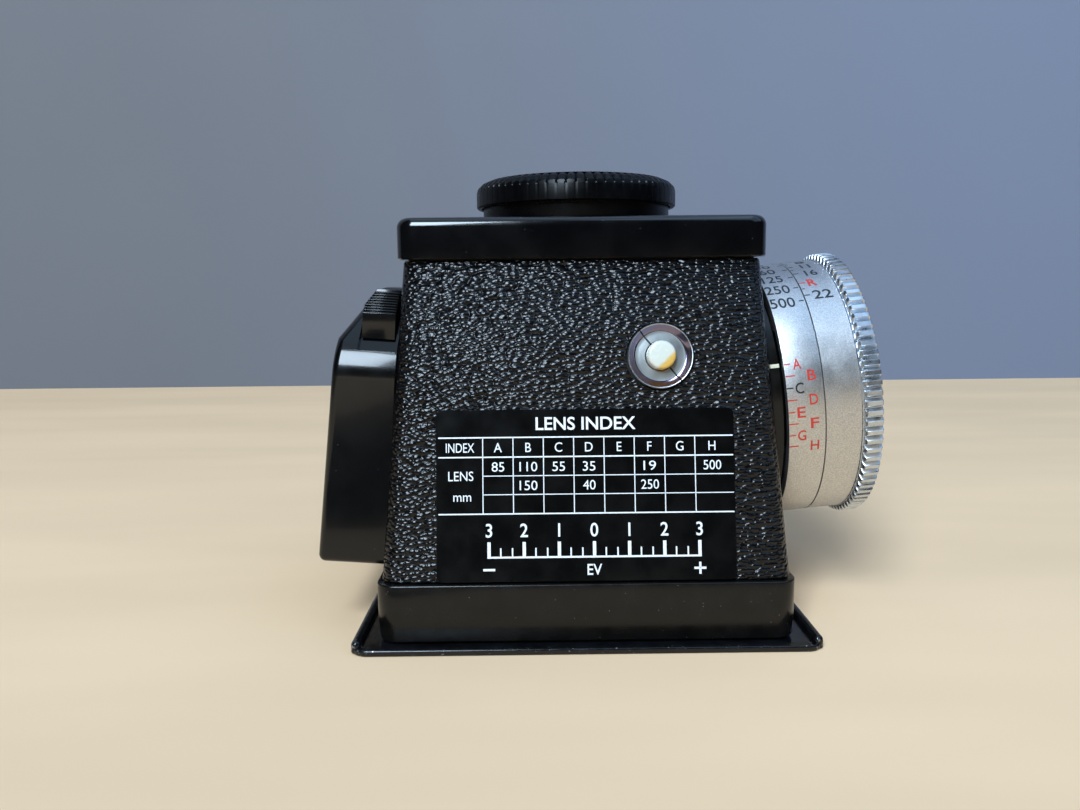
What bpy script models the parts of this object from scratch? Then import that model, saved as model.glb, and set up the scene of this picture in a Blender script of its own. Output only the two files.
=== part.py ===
"""Metering chimney viewfinder for a medium-format reflex camera.

World axes: +X to the user's right, +Y away from the user, +Z up.  The finder stands on its base
plate at Z = 0.  Sizes below are in millimetres and are turned into metres as meshes are made.
"""
from math import atan2, cos, pi, radians, sin, sqrt, tan

import bmesh
import bpy
from mathutils import Matrix, Vector

MM = 0.001
GAP = 0.3                       # clearance kept between pieces that touch

# Base
PLATE_X, PLATE_Y, PLATE_THICK = 71.6, 67.0, 1.0
PLATE_CORNER = 2.6
LIP_WIDTH, LIP_TOP = 1.6, 2.1
VIEW_OPENING = 54.0             # square light opening through the base
COLLAR_X, COLLAR_Y = 64.0, 63.6
COLLAR_BOTTOM, COLLAR_BAND, COLLAR_TOP = 1.3, 4.7, 10.4
COLLAR_CORNER, COLLAR_TUCK = 3.0, 0.3
COLLAR_OPENING = 55.4
BASE_SCREW_X, BASE_SCREW_Y = 29.85, 19.0

# Tapered body, half widths at the collar and at the cover
BODY_LOW, BODY_HIGH = 10.4, 58.9
HALF_X_LOW, HALF_X_HIGH = 31.25, 27.9
HALF_Y_LOW, HALF_Y_HIGH = 31.2, 21.4
SKIN_THICK, SKIN_GAP, SHELL_THICK = 0.55, 0.2, 1.2
SHELL_INSET = SKIN_THICK + SKIN_GAP
SHELL_TOP = 63.6
BODY_CORNER = 2.5
SIDE_LEAN = atan2(HALF_X_LOW - HALF_X_HIGH, BODY_HIGH - BODY_LOW)
FRONT_LEAN = atan2(HALF_Y_LOW - HALF_Y_HIGH, BODY_HIGH - BODY_LOW)

# Top cover and eyepiece
COVER_HALF_X, COVER_HALF_Y = 28.8, 22.3
COVER_LOW, COVER_TOP = 59.1, 65.5
COVER_WALL, COVER_ROOF, COVER_CORNER, COVER_EDGE = 1.3, 1.4, 3.0, 1.5
NECK_R, NECK_BORE, NECK_STEM_R, NECK_TOP, NECK_LOW = 16.3, 14.2, 15.2, 70.0, 61.5
RING_R, RING_LOW, RING_TOP, RING_OPENING = 17.45, 68.25, 72.9, 12.6
CELL_R, CELL_BORE, CELL_LOW, CELL_TOP = 13.9, 12.1, 57.2, 69.3
LENS_R = 11.9

# Photocell bracket and light baffle inside the chimney
BRACKET_Z, BRACKET_THICK, BRACKET_OPENING_R = 54.6, 1.2, 14.8
PHOTOCELL_X, PHOTOCELL_R, PHOTOCELL_THICK = 20.5, 2.6, 2.1

# Index plate and test button on the user's face, measured up the slope from the collar
PLATE_WIDE, PLATE_LOW, PLATE_HIGH, PLATE_SHEET = 45.3, 0.35, 26.3, 0.4
BUTTON_X, BUTTON_UP = 11.7, 34.3
NUT_R, NUT_BORE, NUT_RIM = 5.0, 3.55, 0.9
BUTTON_R, BUTTON_TOP, BUTTON_STEM_R = 2.4, 2.5, 0.9
SWITCH_R, SWITCH_DEEP = 4.6, 9.0
SLOT_ANGLE = radians(129)

# Dial on the right side; heights along the dial's axis from the body's skin
DIAL_Y, DIAL_Z = -1.5, 35.6
DIAL_LEAN = radians(5.6)
DRUM_R, FLANGE_R, HUB_R, POST_R = 22.0, 23.0, 20.9, 10.0
HUB_TOP, POST_TOP = 2.1, 9.0
SPEED_LOW, SPEED_TOP = 2.4, 8.1
APERTURE_LOW, APERTURE_TOP, FLANGE_LOW = 8.35, 17.1, 14.5
SHAFT_R = 2.0
HUB_SCREW_RADIUS, HUB_SCREWS = 7.0, 3

# Meter housing on the left side; u runs up the side, v along +Y, w out from the skin
HOUSING_Z = 10.65               # height of u = 0 on the skin
HOUSING_FRONT, HOUSING_BACK = -23.0, 20.0
HOUSING_TALL, FOLD_U, SHOULDER_U = 44.15, 33.25, 35.75
HOUSING_OUT_LOW, HOUSING_OUT_SHOULDER, HOUSING_OUT_TOP = 11.5, 9.9, 4.8
HOUSING_WALL, HOUSING_EDGE, BACK_CHAMFER = 1.4, 1.3, 5.0
SLIDER_V, SLIDER_W = -19.6, (0.9, 6.1)
SLIDER_TRAVEL, SLIDER_HEIGHT, SLIDER_SUNK = 2.2, 3.4, 0.45
BATTERY_U, BATTERY_V, BATTERY_R = 12.0, -9.0, 7.8
CAP_R = 9.0
METER_U, METER_V = 29.5, 5.0
HOUSING_SCREWS = ((5.0, 15.5), (33.0, 15.5))

HOUSING_ROUNDING = 0.42        # taken off the housing's reach by its rounded lower edge

# The box that the object fills is centred on X = 0, though dial and housing stick out unequally
DIAL_REACH = (HALF_X_LOW - (DIAL_Z - BODY_LOW) * tan(SIDE_LEAN)
              + (APERTURE_TOP - 0.3) * cos(DIAL_LEAN) + FLANGE_R * sin(DIAL_LEAN))
HOUSING_REACH = (HALF_X_LOW - (HOUSING_Z - BODY_LOW) * tan(SIDE_LEAN)
                 + (HOUSING_OUT_LOW - HOUSING_ROUNDING) * cos(SIDE_LEAN))
SHIFT_X = (HOUSING_REACH - DIAL_REACH) / 2


# ---------------------------------------------------------------- scene and materials
for left_over in list(bpy.data.objects):
    bpy.data.objects.remove(left_over, do_unlink=True)

FINDER = bpy.data.collections.new("metering_viewfinder")
CUTTERS = bpy.data.collections.new("cutters")
for group in (FINDER, CUTTERS):
    bpy.context.scene.collection.children.link(group)


def material(name, colour, roughness, metallic=0.0, alpha=1.0):
    made = bpy.data.materials.new(name)
    made.use_nodes = True
    shader = made.node_tree.nodes["Principled BSDF"]
    shader.inputs["Base Color"].default_value = (*colour, 1.0)
    shader.inputs["Roughness"].default_value = roughness
    shader.inputs["Metallic"].default_value = metallic
    shader.inputs["Alpha"].default_value = alpha
    return made


BLACK_GLOSS = material("black_gloss", (0.012, 0.013, 0.016), 0.22)
BLACK_SATIN = material("black_satin", (0.016, 0.015, 0.014), 0.42)
LEATHERETTE = material("leatherette", (0.014, 0.014, 0.016), 0.48)
SATIN_METAL = material("satin_metal", (0.66, 0.65, 0.62), 0.34, 1.0)
POLISHED = material("polished_metal", (0.74, 0.73, 0.70), 0.16, 1.0)
STEEL = material("steel", (0.5, 0.5, 0.5), 0.35, 1.0)
BRASS = material("brass", (0.62, 0.47, 0.22), 0.35, 1.0)
WHITE_PLASTIC = material("white_plastic", (0.83, 0.80, 0.70), 0.38)
GLASS = material("glass", (0.85, 0.9, 0.95), 0.04, 0.0, 0.35)
DARK_PLASTIC = material("dark_plastic", (0.03, 0.03, 0.032), 0.5)
BOARD = material("board", (0.25, 0.17, 0.07), 0.55)


# ---------------------------------------------------------------- frames
def frame(name, location, rotation=Matrix.Identity(3), parent=None):
    """An empty that pieces are built on; location in millimetres."""
    empty = bpy.data.objects.new(name, None)
    FINDER.objects.link(empty)
    empty.parent = parent
    empty.matrix_local = Matrix.Translation(Vector(location) * MM) @ rotation.to_4x4()
    return empty


def half_x(z):
    return HALF_X_LOW - (z - BODY_LOW) * tan(SIDE_LEAN)


def half_y(z):
    return HALF_Y_LOW - (z - BODY_LOW) * tan(FRONT_LEAN)


ROOT = frame("finder_frame", (SHIFT_X, 0, 0))
EYEPIECE_AXIS = frame("eyepiece_axis", (0, 0, 0), parent=ROOT)
FRONT = frame("front_face", (0, -HALF_Y_LOW, BODY_LOW),
              Matrix.Rotation(pi / 2 - FRONT_LEAN, 3, "X"), ROOT)
BUTTON_AXIS = frame("button_axis", (BUTTON_X, BUTTON_UP, 0), parent=FRONT)
DIAL_AXIS = frame("dial_axis", (half_x(DIAL_Z), DIAL_Y, DIAL_Z),
                  Matrix.Rotation(pi / 2 - DIAL_LEAN, 3, "Y"), ROOT)
LEFT = frame("left_side", (-half_x(HOUSING_Z), 0, HOUSING_Z),
             Matrix.Rotation(-(pi / 2 - SIDE_LEAN), 3, "Y"), ROOT)
BATTERY_AXIS = frame("battery_axis", (BATTERY_U, BATTERY_V, 0), parent=LEFT)
METER_AXIS = frame("meter_axis", (METER_U, METER_V, 0), parent=LEFT)


# ---------------------------------------------------------------- modelling helpers
def place(name, mesh, paint, parent, matrix=Matrix.Identity(4), cutter=False):
    obj = bpy.data.objects.new(name, mesh)
    (CUTTERS if cutter else FINDER).objects.link(obj)
    obj.parent = parent
    obj.matrix_local = matrix
    if cutter:
        obj.hide_render = True
        obj.display_type = "WIRE"
    else:
        mesh.materials.append(paint)
    return obj


def finish_mesh(name, bm):
    bmesh.ops.recalc_face_normals(bm, faces=bm.faces[:])
    mesh = bpy.data.meshes.new(name)
    bm.to_mesh(mesh)
    bm.free()
    return mesh


def frustum(name, low, high, z_low, z_high, corner, paint=None, parent=ROOT, cutter=False,
            top_edge=0.0):
    """A block with half sizes low at z_low and high at z_high and rounded upright edges."""
    bm = bmesh.new()
    bmesh.ops.create_cube(bm, size=2.0)
    for vert in bm.verts:
        half, z = (low, z_low) if vert.co.z < 0 else (high, z_high)
        vert.co = Vector((vert.co.x * half[0], vert.co.y * half[1], z)) * MM
    if corner:
        upright = [edge for edge in bm.edges
                   if abs(edge.verts[0].co.z - edge.verts[1].co.z) > MM * 0.01]
        bmesh.ops.bevel(bm, geom=upright, offset=corner * MM, segments=3, profile=0.5,
                        affect="EDGES")
    if top_edge:
        rim = [edge for edge in bm.edges
               if min(vert.co.z for vert in edge.verts) > (z_high - 0.01) * MM]
        bmesh.ops.bevel(bm, geom=rim, offset=top_edge * MM, segments=3, profile=0.5,
                        affect="EDGES")
    return place(name, finish_mesh(name, bm), paint, parent, cutter=cutter)


def block(name, low, high, paint=None, parent=ROOT, corner=0.0, cutter=False):
    """A box between two corner points, with its upright edges rounded if asked."""
    centre = [(a + b) / 2 for a, b in zip(low, high)]
    half = [(b - a) / 2 for a, b in zip(low, high)]
    obj = frustum(name, half[:2], half[:2], -half[2], half[2], corner, paint, parent, cutter)
    obj.location = Vector(centre) * MM
    return obj


def turned(name, profile, paint=None, parent=ROOT, at=(0.0, 0.0), sides=36, cutter=False):
    """A turned piece. The profile holds (radius, height) and runs down its outer side."""
    mesh = bpy.data.meshes.new(name)
    points = [(r * MM, 0.0, z * MM) for r, z in profile]
    edges = [(i, i + 1) for i in range(len(points) - 1)]
    if profile[0][0] > 0:
        edges.append((len(points) - 1, 0))
    mesh.from_pydata(points, edges, [])
    obj = place(name, mesh, paint, parent, Matrix.Translation((at[0] * MM, at[1] * MM, 0)), cutter)
    screw = obj.modifiers.new("turn", "SCREW")
    screw.steps = screw.render_steps = sides
    screw.use_merge_vertices = True
    screw.merge_threshold = 1e-6
    screw.use_smooth_shade = False
    return obj


def cylinder(name, radius, low, high, paint=None, parent=ROOT, at=(0.0, 0.0), sides=24,
             cutter=False):
    profile = [(0, high), (radius, high), (radius, low), (0, low)]
    return turned(name, profile, paint, parent, at, sides, cutter)


def tube(name, inner, outer, low, high, paint=None, parent=ROOT, at=(0.0, 0.0), sides=28):
    profile = [(inner, high), (outer, high), (outer, low), (inner, low)]
    return turned(name, profile, paint, parent, at, sides)


def prism(name, outline, low, high, plane, paint=None, parent=ROOT, cutter=False):
    """An outline drawn in two local axes and extruded along the third, given by plane."""
    bm = bmesh.new()
    corners = []
    for first, second in outline:
        point = {"XZ": (first, low, second), "YX": (second, first, low)}[plane]
        corners.append(bm.verts.new(Vector(point) * MM))
    face = bm.faces.new(corners)
    along = {"XZ": (0, high - low, 0), "YX": (0, 0, high - low)}[plane]
    grown = bmesh.ops.extrude_face_region(bm, geom=[face])["geom"]
    moved = [part for part in grown if isinstance(part, bmesh.types.BMVert)]
    bmesh.ops.translate(bm, verts=moved, vec=Vector(along) * MM)
    return place(name, finish_mesh(name, bm), paint, parent, cutter=cutter)


def combine(obj, other, operation="DIFFERENCE"):
    step = obj.modifiers.new(operation.lower(), "BOOLEAN")
    step.operation = operation
    step.solver = "EXACT"
    step.object = other


def soften(obj, width, segments=3):
    step = obj.modifiers.new("edges", "BEVEL")
    step.width = width * MM
    step.segments = segments
    step.limit_method = "ANGLE"
    step.angle_limit = radians(20)


def wire(name, points, radius, paint, parent):
    """A round wire through the given points, in millimetres."""
    curve = bpy.data.curves.new(name, "CURVE")
    curve.dimensions = "3D"
    curve.bevel_depth = radius * MM
    curve.bevel_resolution = 2
    curve.use_fill_caps = True
    spline = curve.splines.new("POLY")
    spline.points.add(len(points) - 1)
    for node, point in zip(spline.points, points):
        node.co = (*(Vector(point) * MM), 1.0)
    obj = bpy.data.objects.new(name, curve)
    FINDER.objects.link(obj)
    obj.parent = parent
    curve.materials.append(paint)
    return obj


def screw(name, parent, at, head, shank_r, tip, head_r, paint=STEEL):
    """A cheese-head screw; head is (outer face, seat) and tip the end of its shank."""
    outer, seat = head
    side = 1 if outer > seat else -1
    profile = [(0, outer), (head_r, outer), (head_r, seat), (shank_r, seat), (shank_r, tip),
               (0, tip)]
    obj = turned(name, profile[::side], paint, parent, at, sides=12)
    low, high = sorted((outer - 0.35 * side, outer + side))
    slot = block(name + "_slot", (at[0] - head_r - 1, at[1] - 0.25, low),
                 (at[0] + head_r + 1, at[1] + 0.25, high), parent=parent, cutter=True)
    combine(obj, slot)
    return obj


# ---------------------------------------------------------------- base
def build_base():
    half = (PLATE_X / 2, PLATE_Y / 2)
    plate = frustum("base_plate", half, half, 0.0, LIP_TOP, PLATE_CORNER, BLACK_SATIN)
    channel = block("plate_channel", (LIP_WIDTH - half[0], -half[1] - 1, PLATE_THICK),
                    (half[0] - LIP_WIDTH, half[1] + 1, LIP_TOP + 1), cutter=True)
    opening = block("plate_opening", (-VIEW_OPENING / 2, -VIEW_OPENING / 2, -1),
                    (VIEW_OPENING / 2, VIEW_OPENING / 2, 3), corner=2.0, cutter=True)
    combine(plate, channel)
    combine(plate, opening)

    low = (COLLAR_X / 2 - COLLAR_TUCK, COLLAR_Y / 2 - COLLAR_TUCK)
    high = (COLLAR_X / 2, COLLAR_Y / 2)
    collar = frustum("base_collar", high, high, COLLAR_BAND, COLLAR_TOP, COLLAR_CORNER,
                     BLACK_SATIN)
    band = frustum("collar_band", low, high, COLLAR_BOTTOM, COLLAR_BAND + 0.001, COLLAR_CORNER,
                   cutter=True)
    combine(collar, band, "UNION")
    half_open = COLLAR_OPENING / 2
    combine(collar, block("collar_opening", (-half_open, -half_open, -1),
                          (half_open, half_open, COLLAR_TOP + 1), corner=2.0, cutter=True))

    rim = half_open - GAP
    baffle = block("light_baffle", (-rim, -rim, 7.2), (rim, rim, 8.4), DARK_PLASTIC, corner=1.8)
    combine(baffle, block("baffle_opening", (2 - rim, 2 - rim, 6), (rim - 2, rim - 2, 10),
                          corner=1.0, cutter=True))

    for side in (-1, 1):
        for end in (-1, 1):
            at = (side * BASE_SCREW_X, end * BASE_SCREW_Y)
            name = f"base_screw_{'left' if side < 0 else 'right'}_{'front' if end < 0 else 'back'}"
            sink = turned(name + "_sink", [(0, 1.2), (1.0, 1.2), (1.95, -0.1), (0, -0.1)],
                          at=at, sides=12, cutter=True)
            tapped = cylinder(name + "_hole", 1.05, 0.9, 6.8, at=at, sides=12, cutter=True)
            combine(plate, sink)
            combine(collar, tapped)
            profile = [(0, 6.4), (0.75, 6.4), (0.75, 0.95), (1.45, 0.1), (0, 0.1)]
            turned(name, profile, STEEL, at=at, sides=12)


# ---------------------------------------------------------------- tapered body
def body_block(name, inset, low, high, paint=None, cutter=False):
    half = [(half_x(z) - inset, half_y(z) - inset) for z in (low, high)]
    corner = max(BODY_CORNER - inset, 0.6)
    return frustum(name, half[0], half[1], low, high, corner, paint, cutter=cutter)


def build_body():
    shell = body_block("chimney_shell", SHELL_INSET, BODY_LOW + GAP, SHELL_TOP, BLACK_SATIN)
    combine(shell, body_block("shell_inside", SHELL_INSET + SHELL_THICK, BODY_LOW - 2,
                              SHELL_TOP + 2, cutter=True))
    skin = body_block("leatherette_cover", 0.0, BODY_LOW + 0.15, BODY_HIGH, LEATHERETTE)
    combine(skin, body_block("skin_inside", SKIN_THICK, BODY_LOW - 2, BODY_HIGH + 2, cutter=True))

    switch_hole = cylinder("switch_hole", 3.75, -4, 3, parent=BUTTON_AXIS, cutter=True)
    nut_hole = cylinder("nut_hole", NUT_R + GAP, -0.65, 3, parent=BUTTON_AXIS, cutter=True)
    shaft_hole = cylinder("shaft_hole", SHAFT_R + 1, -4, 3, parent=DIAL_AXIS, cutter=True)
    wire_hole = cylinder("wire_hole", 2.5, -4, 3, parent=LEFT, at=(20, -14), cutter=True)
    window_hole = block("window_hole", (METER_U + 7.5, METER_V - 4, -4),
                        (METER_U + 12.0, METER_V + 4, 3), parent=LEFT, cutter=True)
    for hole in (switch_hole, shaft_hole, wire_hole, window_hole):
        combine(shell, hole)
    for hole in (nut_hole, shaft_hole, wire_hole, window_hole):
        combine(skin, hole)
    for index in range(HUB_SCREWS):
        hole = cylinder(f"hub_screw_hole_{index}", 1.1, -4, 3, parent=DIAL_AXIS,
                        at=hub_screw_place(index), sides=12, cutter=True)
        combine(shell, hole)
        combine(skin, hole)

    block("needle_window", (METER_U + 7.8, METER_V - 3.7, -SHELL_INSET - 0.9),
          (METER_U + 11.7, METER_V + 3.7, -SHELL_INSET - 0.1), GLASS, LEFT)
    block("index_plate", (-PLATE_WIDE / 2, PLATE_LOW, 0.1),
          (PLATE_WIDE / 2, PLATE_HIGH, 0.1 + PLATE_SHEET), BLACK_GLOSS, FRONT, corner=0.8)

    rim_x, rim_y = half_x(BRACKET_Z + BRACKET_THICK), half_y(BRACKET_Z + BRACKET_THICK)
    inset = SHELL_INSET + SHELL_THICK + GAP
    bracket = block("photocell_bracket", (inset - rim_x, inset - rim_y, BRACKET_Z),
                    (rim_x - inset, rim_y - inset, BRACKET_Z + BRACKET_THICK), BLACK_SATIN)
    combine(bracket, cylinder("bracket_opening", BRACKET_OPENING_R, 50, 60, cutter=True))
    for name, side in (("photocell_left", -1), ("photocell_right", 1)):
        top = BRACKET_Z - GAP
        tube_profile = [(0, top), (PHOTOCELL_R, top), (PHOTOCELL_R, top - PHOTOCELL_THICK),
                        (0, top - PHOTOCELL_THICK)]
        turned(name, tube_profile, BRASS, at=(side * PHOTOCELL_X, 0), sides=20)


# ---------------------------------------------------------------- cover and eyepiece
def lens(name, edge_low, edge_high, belly_low, belly_high, steps=3):
    """A biconvex lens: each face is a parabola from its rim to its belly at the axis."""
    radii = [LENS_R * i / steps for i in range(steps + 1)]
    upper = [(r, belly_high - (belly_high - edge_high) * (r / LENS_R) ** 2) for r in radii]
    lower = [(r, belly_low + (edge_low - belly_low) * (r / LENS_R) ** 2) for r in radii]
    return turned(name, upper + lower[::-1], GLASS, EYEPIECE_AXIS, sides=32)


def build_cover_and_eyepiece():
    half = (COVER_HALF_X, COVER_HALF_Y)
    cover = frustum("top_cover", half, half, COVER_LOW, COVER_TOP, COVER_CORNER, BLACK_GLOSS,
                    top_edge=COVER_EDGE)
    inside = (COVER_HALF_X - COVER_WALL, COVER_HALF_Y - COVER_WALL)
    combine(cover, frustum("cover_inside", inside, inside, COVER_LOW - 2, COVER_TOP - COVER_ROOF,
                           COVER_CORNER - COVER_WALL, cutter=True))
    combine(cover, cylinder("cover_opening", NECK_STEM_R + GAP, 60, 70, sides=40, cutter=True))

    neck_seat = COVER_TOP + 0.2
    turned("eyepiece_neck", [(NECK_BORE, NECK_TOP), (NECK_R, NECK_TOP), (NECK_R, neck_seat),
                             (NECK_STEM_R, neck_seat), (NECK_STEM_R, NECK_LOW),
                             (NECK_BORE, NECK_LOW)], BLACK_SATIN)
    tube("neck_nut", NECK_STEM_R + GAP, NECK_STEM_R + 2.9, 62.2, COVER_TOP - COVER_ROOF - GAP,
         BRASS)

    skirt = NECK_R + 0.35
    web = NECK_TOP + 0.8
    turned("eyepiece_ring", [(RING_OPENING, RING_TOP), (15.3, RING_TOP), (16.6, RING_TOP - 0.6),
                             (17.3, RING_TOP - 1.3), (RING_R, RING_TOP - 1.9),
                             (RING_R, RING_LOW), (skirt, RING_LOW), (skirt, web),
                             (RING_OPENING, web)], BLACK_SATIN, EYEPIECE_AXIS)
    lip = CELL_BORE - 0.9
    turned("lens_cell", [(CELL_BORE, CELL_TOP), (CELL_R, CELL_TOP), (CELL_R, CELL_LOW),
                         (lip, CELL_LOW), (lip, CELL_LOW + 0.7), (CELL_BORE, CELL_LOW + 0.7)],
           BLACK_SATIN, EYEPIECE_AXIS)
    lens("field_lens", 58.9, 61.0, 58.1, 61.7)
    tube("lens_spacer", 11.0, LENS_R, 61.2, 64.3, BLACK_SATIN, EYEPIECE_AXIS, sides=32)
    lens("eye_lens", 64.6, 66.7, 63.9, 67.8)
    tube("lens_retainer", 11.1, LENS_R, 66.95, 68.6, BRASS, EYEPIECE_AXIS, sides=32)


# ---------------------------------------------------------------- test button
def build_button():
    bore = BUTTON_R + 0.25
    mouth = bore + 0.1
    nut = turned("ring_nut", [(mouth, 0.4), (4.0, 0.34), (4.45, 0.5), (4.7, NUT_RIM),
                              (NUT_R, NUT_RIM), (NUT_R, -0.4), (NUT_BORE, -0.4),
                              (NUT_BORE, 0.05), (mouth, 0.05)],
                 POLISHED, BUTTON_AXIS)
    slot = block("nut_slot", (-7, -0.5, 0.2), (7, 0.5, 3), parent=BUTTON_AXIS, cutter=True)
    slot.rotation_euler.z = SLOT_ANGLE
    combine(nut, slot)
    neck_r, floor = NUT_BORE - 0.25, 0.8 - SWITCH_DEEP
    shoulder = -(SHELL_INSET + SHELL_THICK + 0.25)
    turned("switch_body", [(bore, -0.2), (neck_r, -0.2), (neck_r, shoulder),
                           (SWITCH_R, shoulder), (SWITCH_R, -SWITCH_DEEP),
                           (0.6, -SWITCH_DEEP), (0.6, floor), (bore, floor)],
           DARK_PLASTIC, BUTTON_AXIS, sides=32)
    dome = [(0, BUTTON_TOP), (1.2, BUTTON_TOP - 0.1), (2.0, BUTTON_TOP - 0.42),
            (BUTTON_R, BUTTON_TOP - 0.95)]
    turned("push_button", dome + [(BUTTON_R, -2.4), (BUTTON_STEM_R, -2.4),
                                  (BUTTON_STEM_R, -5.2), (0, -5.2)],
           WHITE_PLASTIC, BUTTON_AXIS, sides=32)
    tube("switch_contact", 0.7, 2.3, floor + 0.2, floor + 0.5, BRASS, BUTTON_AXIS, sides=24)
    turns, per_turn, low, high = 4, 9, floor + 0.9, -2.7
    count = turns * per_turn
    coil = [(1.6 * cos(2 * pi * i / per_turn), 1.6 * sin(2 * pi * i / per_turn),
             low + (high - low) * i / count) for i in range(count + 1)]
    wire("button_spring", coil, 0.17, STEEL, BUTTON_AXIS)


# ---------------------------------------------------------------- dial
def hub_screw_place(index):
    angle = 2 * pi * index / HUB_SCREWS + pi / 6
    return HUB_SCREW_RADIUS * cos(angle), HUB_SCREW_RADIUS * sin(angle)


def build_dial():
    hub = turned("dial_hub", [(SHAFT_R + 0.15, POST_TOP), (POST_R, POST_TOP), (POST_R, HUB_TOP),
                              (HUB_R, HUB_TOP), (HUB_R, -3), (SHAFT_R + 0.15, -3)],
                 BLACK_SATIN, DIAL_AXIS)
    combine(hub, body_block("hub_seat", -0.2, BODY_LOW - 2, BODY_HIGH + 2, cutter=True))
    for index in range(HUB_SCREWS):
        at = hub_screw_place(index)
        hole = cylinder(f"hub_hole_{index}", 1.05, -4, 4.6, parent=DIAL_AXIS, at=at, sides=12,
                        cutter=True)
        combine(hub, hole)
        seat = -(SHELL_INSET + SHELL_THICK) - 0.5
        screw(f"hub_screw_{index + 1}", DIAL_AXIS, at, (seat - 0.8, seat), 0.75, 4.2, 1.5)

    wall = DRUM_R - 1.35
    turned("speed_ring", [(POST_R + 0.3, SPEED_TOP), (DRUM_R, SPEED_TOP), (DRUM_R, SPEED_LOW),
                          (wall, SPEED_LOW), (wall, SPEED_TOP - 1.2),
                          (POST_R + 0.3, SPEED_TOP - 1.2)], SATIN_METAL, DIAL_AXIS)
    click = block("index_click_spring", (-4.5, 13.5, HUB_TOP + 0.2), (4.5, 16.0, HUB_TOP + 0.5),
                  STEEL, DIAL_AXIS)
    combine(click, cylinder("click_rivet_hole", 0.6, 0, 5, parent=DIAL_AXIS, at=(0, 14.75),
                            sides=16, cutter=True))

    web_low, web_top, recess = 12.8, 14.2, 19.6
    turned("aperture_ring", [(recess, APERTURE_TOP), (FLANGE_R - 0.3, APERTURE_TOP),
                             (FLANGE_R, APERTURE_TOP - 0.3), (FLANGE_R, FLANGE_LOW + 0.2),
                             (DRUM_R, FLANGE_LOW - 0.4), (DRUM_R, APERTURE_LOW),
                             (wall, APERTURE_LOW), (wall, web_low), (SHAFT_R + 0.2, web_low),
                             (SHAFT_R + 0.2, web_top), (recess, web_top)],
           SATIN_METAL, DIAL_AXIS)
    cylinder("dial_shaft", SHAFT_R, 1.2, web_top, STEEL, DIAL_AXIS, sides=24)
    tube("resistor_track", 3.2, 9.4, POST_TOP + 0.2, POST_TOP + 1.1, BOARD, DIAL_AXIS, sides=32)
    wiper = tube("wiper_arm", SHAFT_R + 0.15, 3.4, 10.5, 11.5, BRASS, DIAL_AXIS, sides=24)
    arm = block("wiper_finger", (2.9, -0.8, 10.5), (9.0, 0.8, 10.9), parent=DIAL_AXIS, cutter=True)
    combine(wiper, arm, "UNION")

    turned("film_speed_disc", [(4.2, 16.0), (17.4, 16.0), (17.6, 16.8), (19.2, 16.8),
                               (19.2, 14.5), (4.2, 14.5)], SATIN_METAL, DIAL_AXIS)
    cap = turned("dial_screw", [(0, 17.1), (5.9, 17.1), (6.2, 16.9), (6.2, 16.3), (3.9, 16.3),
                                (3.9, 14.5), (0, 14.5)], POLISHED, DIAL_AXIS, sides=32)
    combine(cap, block("dial_screw_slot", (-7, -0.5, 16.7), (7, 0.5, 18), parent=DIAL_AXIS,
                       cutter=True))


# ---------------------------------------------------------------- meter housing
def side_outline(inset, low_w, edge=0.0):
    """Outline of the housing seen along Y, as (u, w), drawn in by inset."""
    slope = (HOUSING_OUT_SHOULDER - HOUSING_OUT_TOP) / (HOUSING_TALL - SHOULDER_U)
    step = inset * (sqrt(1 + slope ** 2) - slope) * 0.5
    return [(edge + inset, low_w), (edge + inset, HOUSING_OUT_LOW - inset),
            (SHOULDER_U - step, HOUSING_OUT_SHOULDER - inset),
            (HOUSING_TALL - inset, HOUSING_OUT_TOP + inset * slope - inset * sqrt(1 + slope ** 2)),
            (HOUSING_TALL - inset, low_w)]


def front_outline(inset):
    """Outline of the housing seen along its outward axis, as (v, u), drawn in by inset."""
    top_v = HOUSING_FRONT + (HOUSING_TALL - FOLD_U)
    step = inset * (sqrt(2) - 1)
    return [(HOUSING_FRONT + inset, inset), (HOUSING_FRONT + inset, FOLD_U - step),
            (top_v + step, HOUSING_TALL - inset),
            (HOUSING_BACK - BACK_CHAMFER - step, HOUSING_TALL - inset),
            (HOUSING_BACK - inset, HOUSING_TALL - BACK_CHAMFER - step),
            (HOUSING_BACK - inset, inset)]


def slope_u(v):
    """Height of the housing's sloping front at v."""
    return FOLD_U + (v - HOUSING_FRONT)


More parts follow.
